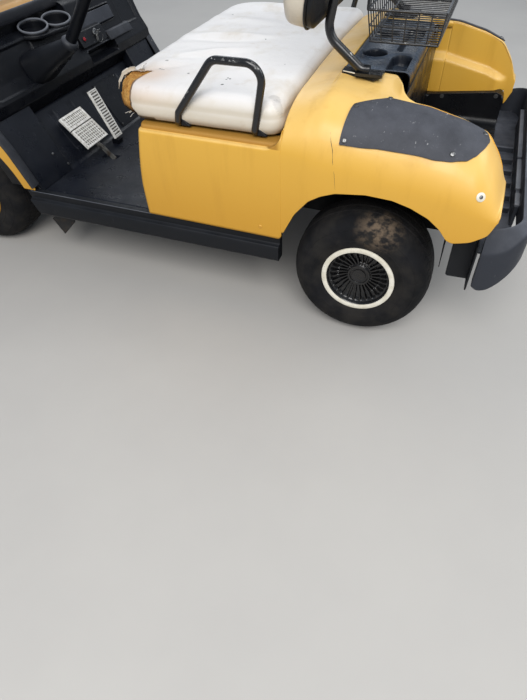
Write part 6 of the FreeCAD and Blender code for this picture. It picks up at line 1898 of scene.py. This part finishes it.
def makeCowlEdge():
    # soft black edging over the rear edge of the cowl, wider inwards, up each side and across the dash
    side = [(0.5075, 0.340), (0.560, 0.470), (0.648, 0.618), (0.692, 0.738), (0.722, 0.798)]
    path = bendPath([(x, 0, z) for x, z in side], [0.12, 0.20, 0.30], 12)
    top, out, radius = cowlSection(np.full(len(path), 0.722))
    path[:, 1] = cowlSide(path[:, 0], path[:, 2], top, out, radius) - 0.013
    keep = path[:, 2] < 0.790
    over = [(0.722, y, 0.7985 + 0.0005) for y in np.linspace(path[keep][-1, 1] - 0.03, 0, 14)]
    whole = np.vstack([path[keep], over])
    whole = np.vstack([whole, (whole * (1, -1, 1))[::-1][1:]])
    length = np.concatenate([[0], np.cumsum(np.linalg.norm(np.diff(whole, axis=0), axis=1))])
    at = np.linspace(0, length[-1], 260)
    path = np.column_stack([np.interp(at, length, whole[:, i]) for i in range(3)])
    rimPath = path.copy()
    edge = tubePart(rimPath, 0.0215, 18, reference=(1, 0.01, 0), flat=0.34)
    makePiece("cowlEdging", [edge], edgeGrey, "cart", angle=60)
    # inner lining of the cowl beside the footwell, black, with small screws
    rows = []
    for x, z in bendPath([(x, 0, z) for x, z in side], [0.12, 0.20, 0.30], 12)[:, (0, 2)]:
        reach = float(min(cowlReach(np.array(z)), 0.5725))
        rows.append([(x + ahead, reach - inward, z) for ahead, inward in ((0.003, 0.001), (0.02, 0.0015), (0.06, 0.002), (0.10, 0.0025))])
    lining = gridPart(np.array(rows))
    makePiece("cowlLining", bothSides([lining]), dashPlastic, "cart", wall=0.0015)
    screws = [screwPart((x, 0.5635, z), (-0.8, -0.3, 0.5), 0.0035) for x, z in ((0.592, 0.536), (0.632, 0.600), (0.668, 0.684))]
    makePiece("edgingScrews", bothSides(screws), zinc, "cart")


# Roof, posts and front bumper

roofForm = {"low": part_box("roof")[0], "high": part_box("roof")[1], "corner": 0.120, "edge": 0.030}


def makeRoof():
    # crowned top with two long drip channels, a rounded edge and a rim that hangs down
    low, high = roofForm["low"], roofForm["high"]
    cx, cy = (low.x + high.x) / 2, 0
    halfX, halfY = (high.x - low.x) / 2 - 0.0008, high.y - 0.0008
    count = 260
    angle = np.linspace(0, 2 * np.pi, count, endpoint=False)
    corners = [(cx + sx * halfX, cy + sy * halfY, 0) for sx, sy in ((1, 0), (1, 1), (0, 1), (-1, 1), (-1, 0))]
    half = bendPath(corners, [roofForm["corner"], 1e-4, roofForm["corner"]], 20)[:, :2]
    whole = np.vstack([half, (half * (1, -1))[::-1][1:-1]])
    closed = np.vstack([whole, whole[:1]])
    length = np.concatenate([[0], np.cumsum(np.linalg.norm(np.diff(closed, axis=0), axis=1))])
    at = np.linspace(0, length[-1], count, endpoint=False)
    outline = np.column_stack([np.interp(at, length, closed[:, 0]), np.interp(at, length, closed[:, 1])])
    centre = np.array([cx, cy])
    toMiddle = centre - outline
    inward = unit(toMiddle)
    rings = []
    edge, lowZ, topZ = roofForm["edge"], low.z + 0.0005, high.z - 0.001
    rings.append((outline + inward * 0.020, lowZ + 0.030))
    rings.append((outline + inward * 0.018, lowZ + 0.002))
    rings.append((outline + inward * 0.008, lowZ))
    rings.append((outline + inward * 0.002, lowZ + 0.004))
    rings.append((outline, lowZ + 0.014))
    for turn in np.linspace(0, math.pi / 2, 9):
        rings.append((outline + inward * edge * (1 - math.cos(turn)), topZ - 0.012 - edge + edge * math.sin(turn)))
    last = rings[-1][0]
    for share in np.linspace(0, 1, 46)[1:-1]:
        rings.append((last + (centre - last) * share, topZ - 0.012))
    points = np.array([np.column_stack([plan, np.full(count, level)]) for plan, level in rings])
    plan = points[..., :2]
    onTop = (points[..., 2] > topZ - 0.014) * 1.0
    crown = 0.012 * (1 - ((plan[..., 0] - cx) / halfX) ** 2) * (1 - (plan[..., 1] / halfY) ** 2)
    channel = np.exp(-((np.abs(plan[..., 1]) - 0.40) / 0.016) ** 2) * smoothStep(-np.abs(plan[..., 0] - cx), -0.66, -0.60)
    points[..., 2] += onTop * (crown - 0.008 * channel)
    under = [np.column_stack([plan, np.full(count, level)]) for plan, level in
             ((outline + inward * 0.026, lowZ + 0.034), (outline + inward * 0.05, lowZ + 0.036))]
    inner = np.array([np.column_stack([under[1][:, :2] + (centre - under[1][:, :2]) * share, np.full(count, lowZ + 0.037)])
                      for share in np.linspace(0, 1, 14)[1:-1]])
    rings = np.concatenate([inner[::-1], np.array(under)[::-1], points], 0)
    part = withCaps(gridPart(rings, False, True), len(rings), count)
    makePiece("roofShell", [part], roofWhite, "cart", ["roof"], angle=40)


def makeFrontBumper():
    low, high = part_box("front_bumper")
    half = 0.017
    corners = [(low.x + 0.004, high.y - half, 0), (high.x - half - 0.030, high.y - half, 0), (high.x - half, 0.36, 0),
               (high.x - half, 0, 0)]
    path = bendPath(corners, [0.06, 0.12], 16)
    whole = np.vstack([path, (path * (1, -1, 1))[::-1][1:]])
    length = np.concatenate([[0], np.cumsum(np.linalg.norm(np.diff(whole, axis=0), axis=1))])
    at = np.linspace(0, length[-1], 150)
    path = np.column_stack([np.interp(at, length, whole[:, i]) for i in range(3)])
    along = unit(np.gradient(path, axis=0))
    side = np.cross(along, (0, 0, 1.0))
    c, s = roundedRing(40, 4)
    fromEnd = np.minimum(at, length[-1] - at)
    tall = (high.z - low.z) / 2 * eased(fromEnd, [0, 0.03, 2], [0.8, 1, 1], 0.01) - 0.001
    groove = 0.003 * np.exp(-(s / 0.16) ** 2)
    middle = (low.z + high.z) / 2
    ring = np.concatenate([path[:, None, :2] + side[:, None, :2] * ((half - 0.001 - groove) * c)[None, :, None],
                           (middle + tall[:, None] * s[None, :])[..., None]], -1)
    part = withCaps(gridPart(ring, False, True), len(path), 40)
    makePiece("frontBumperWrap", [part], bumperBlack, "cart", ["front_bumper"], angle=50)


makeDash()
makeShelf()
makeKeyPanel()
makeColumn()
makeSteeringWheel()
makePedals()
makeFloorPan()
makeKickPanel()
makeSills()
makeCowl()
makeWheelHouses()
makeCowlEdge()
makeRoof()
makeFrontBumper()
print("dash, floor, cowl and roof made")


# Materials of the parts kept from the frame

for nodeNames, finish in ((["chassis_frame", "rear_axle", "front_axle", "knuckle_left", "knuckle_right", "tie_rod"], chassisPaint),
                          (["engine_block"], casting), (["rear_frame", "front_posts"], enamel)):
    for nodeName in nodeNames:
        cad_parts[nodeName].data.materials.clear()
        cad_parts[nodeName].data.materials.append(finish)


# Camera, floor and light

view = {
    "position": (-0.9518, 1.9350, 1.2834), "forward": (0.25838, -0.64551, -0.71871),
    "up": (0.23572, -0.67936, 0.69491), "lens": 26.30, "sensor": 36,
}


def makeCamera():
    camera = bpy.data.cameras.new("camera")
    camera.lens = view["lens"]
    camera.sensor_width = view["sensor"]
    camera.sensor_fit = "AUTO"
    holder = bpy.data.objects.new("camera", camera)
    bpy.context.scene.collection.objects.link(holder)
    forward, up = Vector(view["forward"]).normalized(), Vector(view["up"])
    right = forward.cross(up).normalized()
    up = right.cross(forward)
    turn = Matrix((right, up, -forward)).transposed().to_4x4()
    holder.matrix_world = Matrix.Translation(view["position"]) @ turn
    bpy.context.scene.camera = holder
    bpy.context.scene.view_settings.view_transform = "Standard"




def makeFloor():
    mesh = bpy.data.meshes.new("floor")
    reach = 14
    mesh.from_pydata([(-reach, -reach, 0), (reach, -reach, 0), (reach, reach, 0), (-reach, reach, 0)], [], [(0, 1, 2, 3)])
    material, tree, shader, place = startMaterial("paleFloor", 0.85, 1.4, specular=0.2)
    colour = coated(tree, blotches(tree, place, 900, 0.5, 0.3), linear("bdbab5"), linear("b5b2ae"))
    finishMaterial(tree, shader, colour)
    mesh.materials.append(material)
    ground = bpy.data.objects.new("floor", mesh)
    bpy.context.scene.collection.objects.link(ground)


def makeLight(name, place, target, size, power, colour=(1, 1, 1)):
    lamp = bpy.data.lights.new(name, "AREA")
    lamp.shape = "RECTANGLE"
    lamp.size, lamp.size_y = size
    lamp.energy = power
    lamp.color = colour
    holder = bpy.data.objects.new(name, lamp)
    bpy.context.scene.collection.objects.link(holder)
    holder.location = place
    holder.rotation_euler = (Vector(target) - Vector(place)).to_track_quat("-Z", "Y").to_euler()


def makeWorld():
    world = bpy.data.worlds.new("softSky")
    bpy.context.scene.world = world
    world.use_nodes = True
    background = world.node_tree.nodes["Background"]
    background.inputs["Color"].default_value = (0.80, 0.88, 1.0, 1)
    background.inputs["Strength"].default_value = 0.45


makeCamera()
makeFloor()
makeWorld()
makeLight("skyLeft", (-1.6, 4.2, 4.4), (-0.4, 0, 0.5), (4.0, 3.0), 288, (1.0, 0.985, 0.96))
makeLight("skyBack", (-4.5, -1.0, 3.6), (-0.5, 0, 0.5), (3.0, 3.0), 90, (0.93, 0.97, 1.0))
makeLight("skyRight", (1.5, -4.5, 4.0), (-0.2, 0, 0.5), (4.0, 3.0), 80, (0.95, 0.98, 1.0))
print("camera, floor and light made")
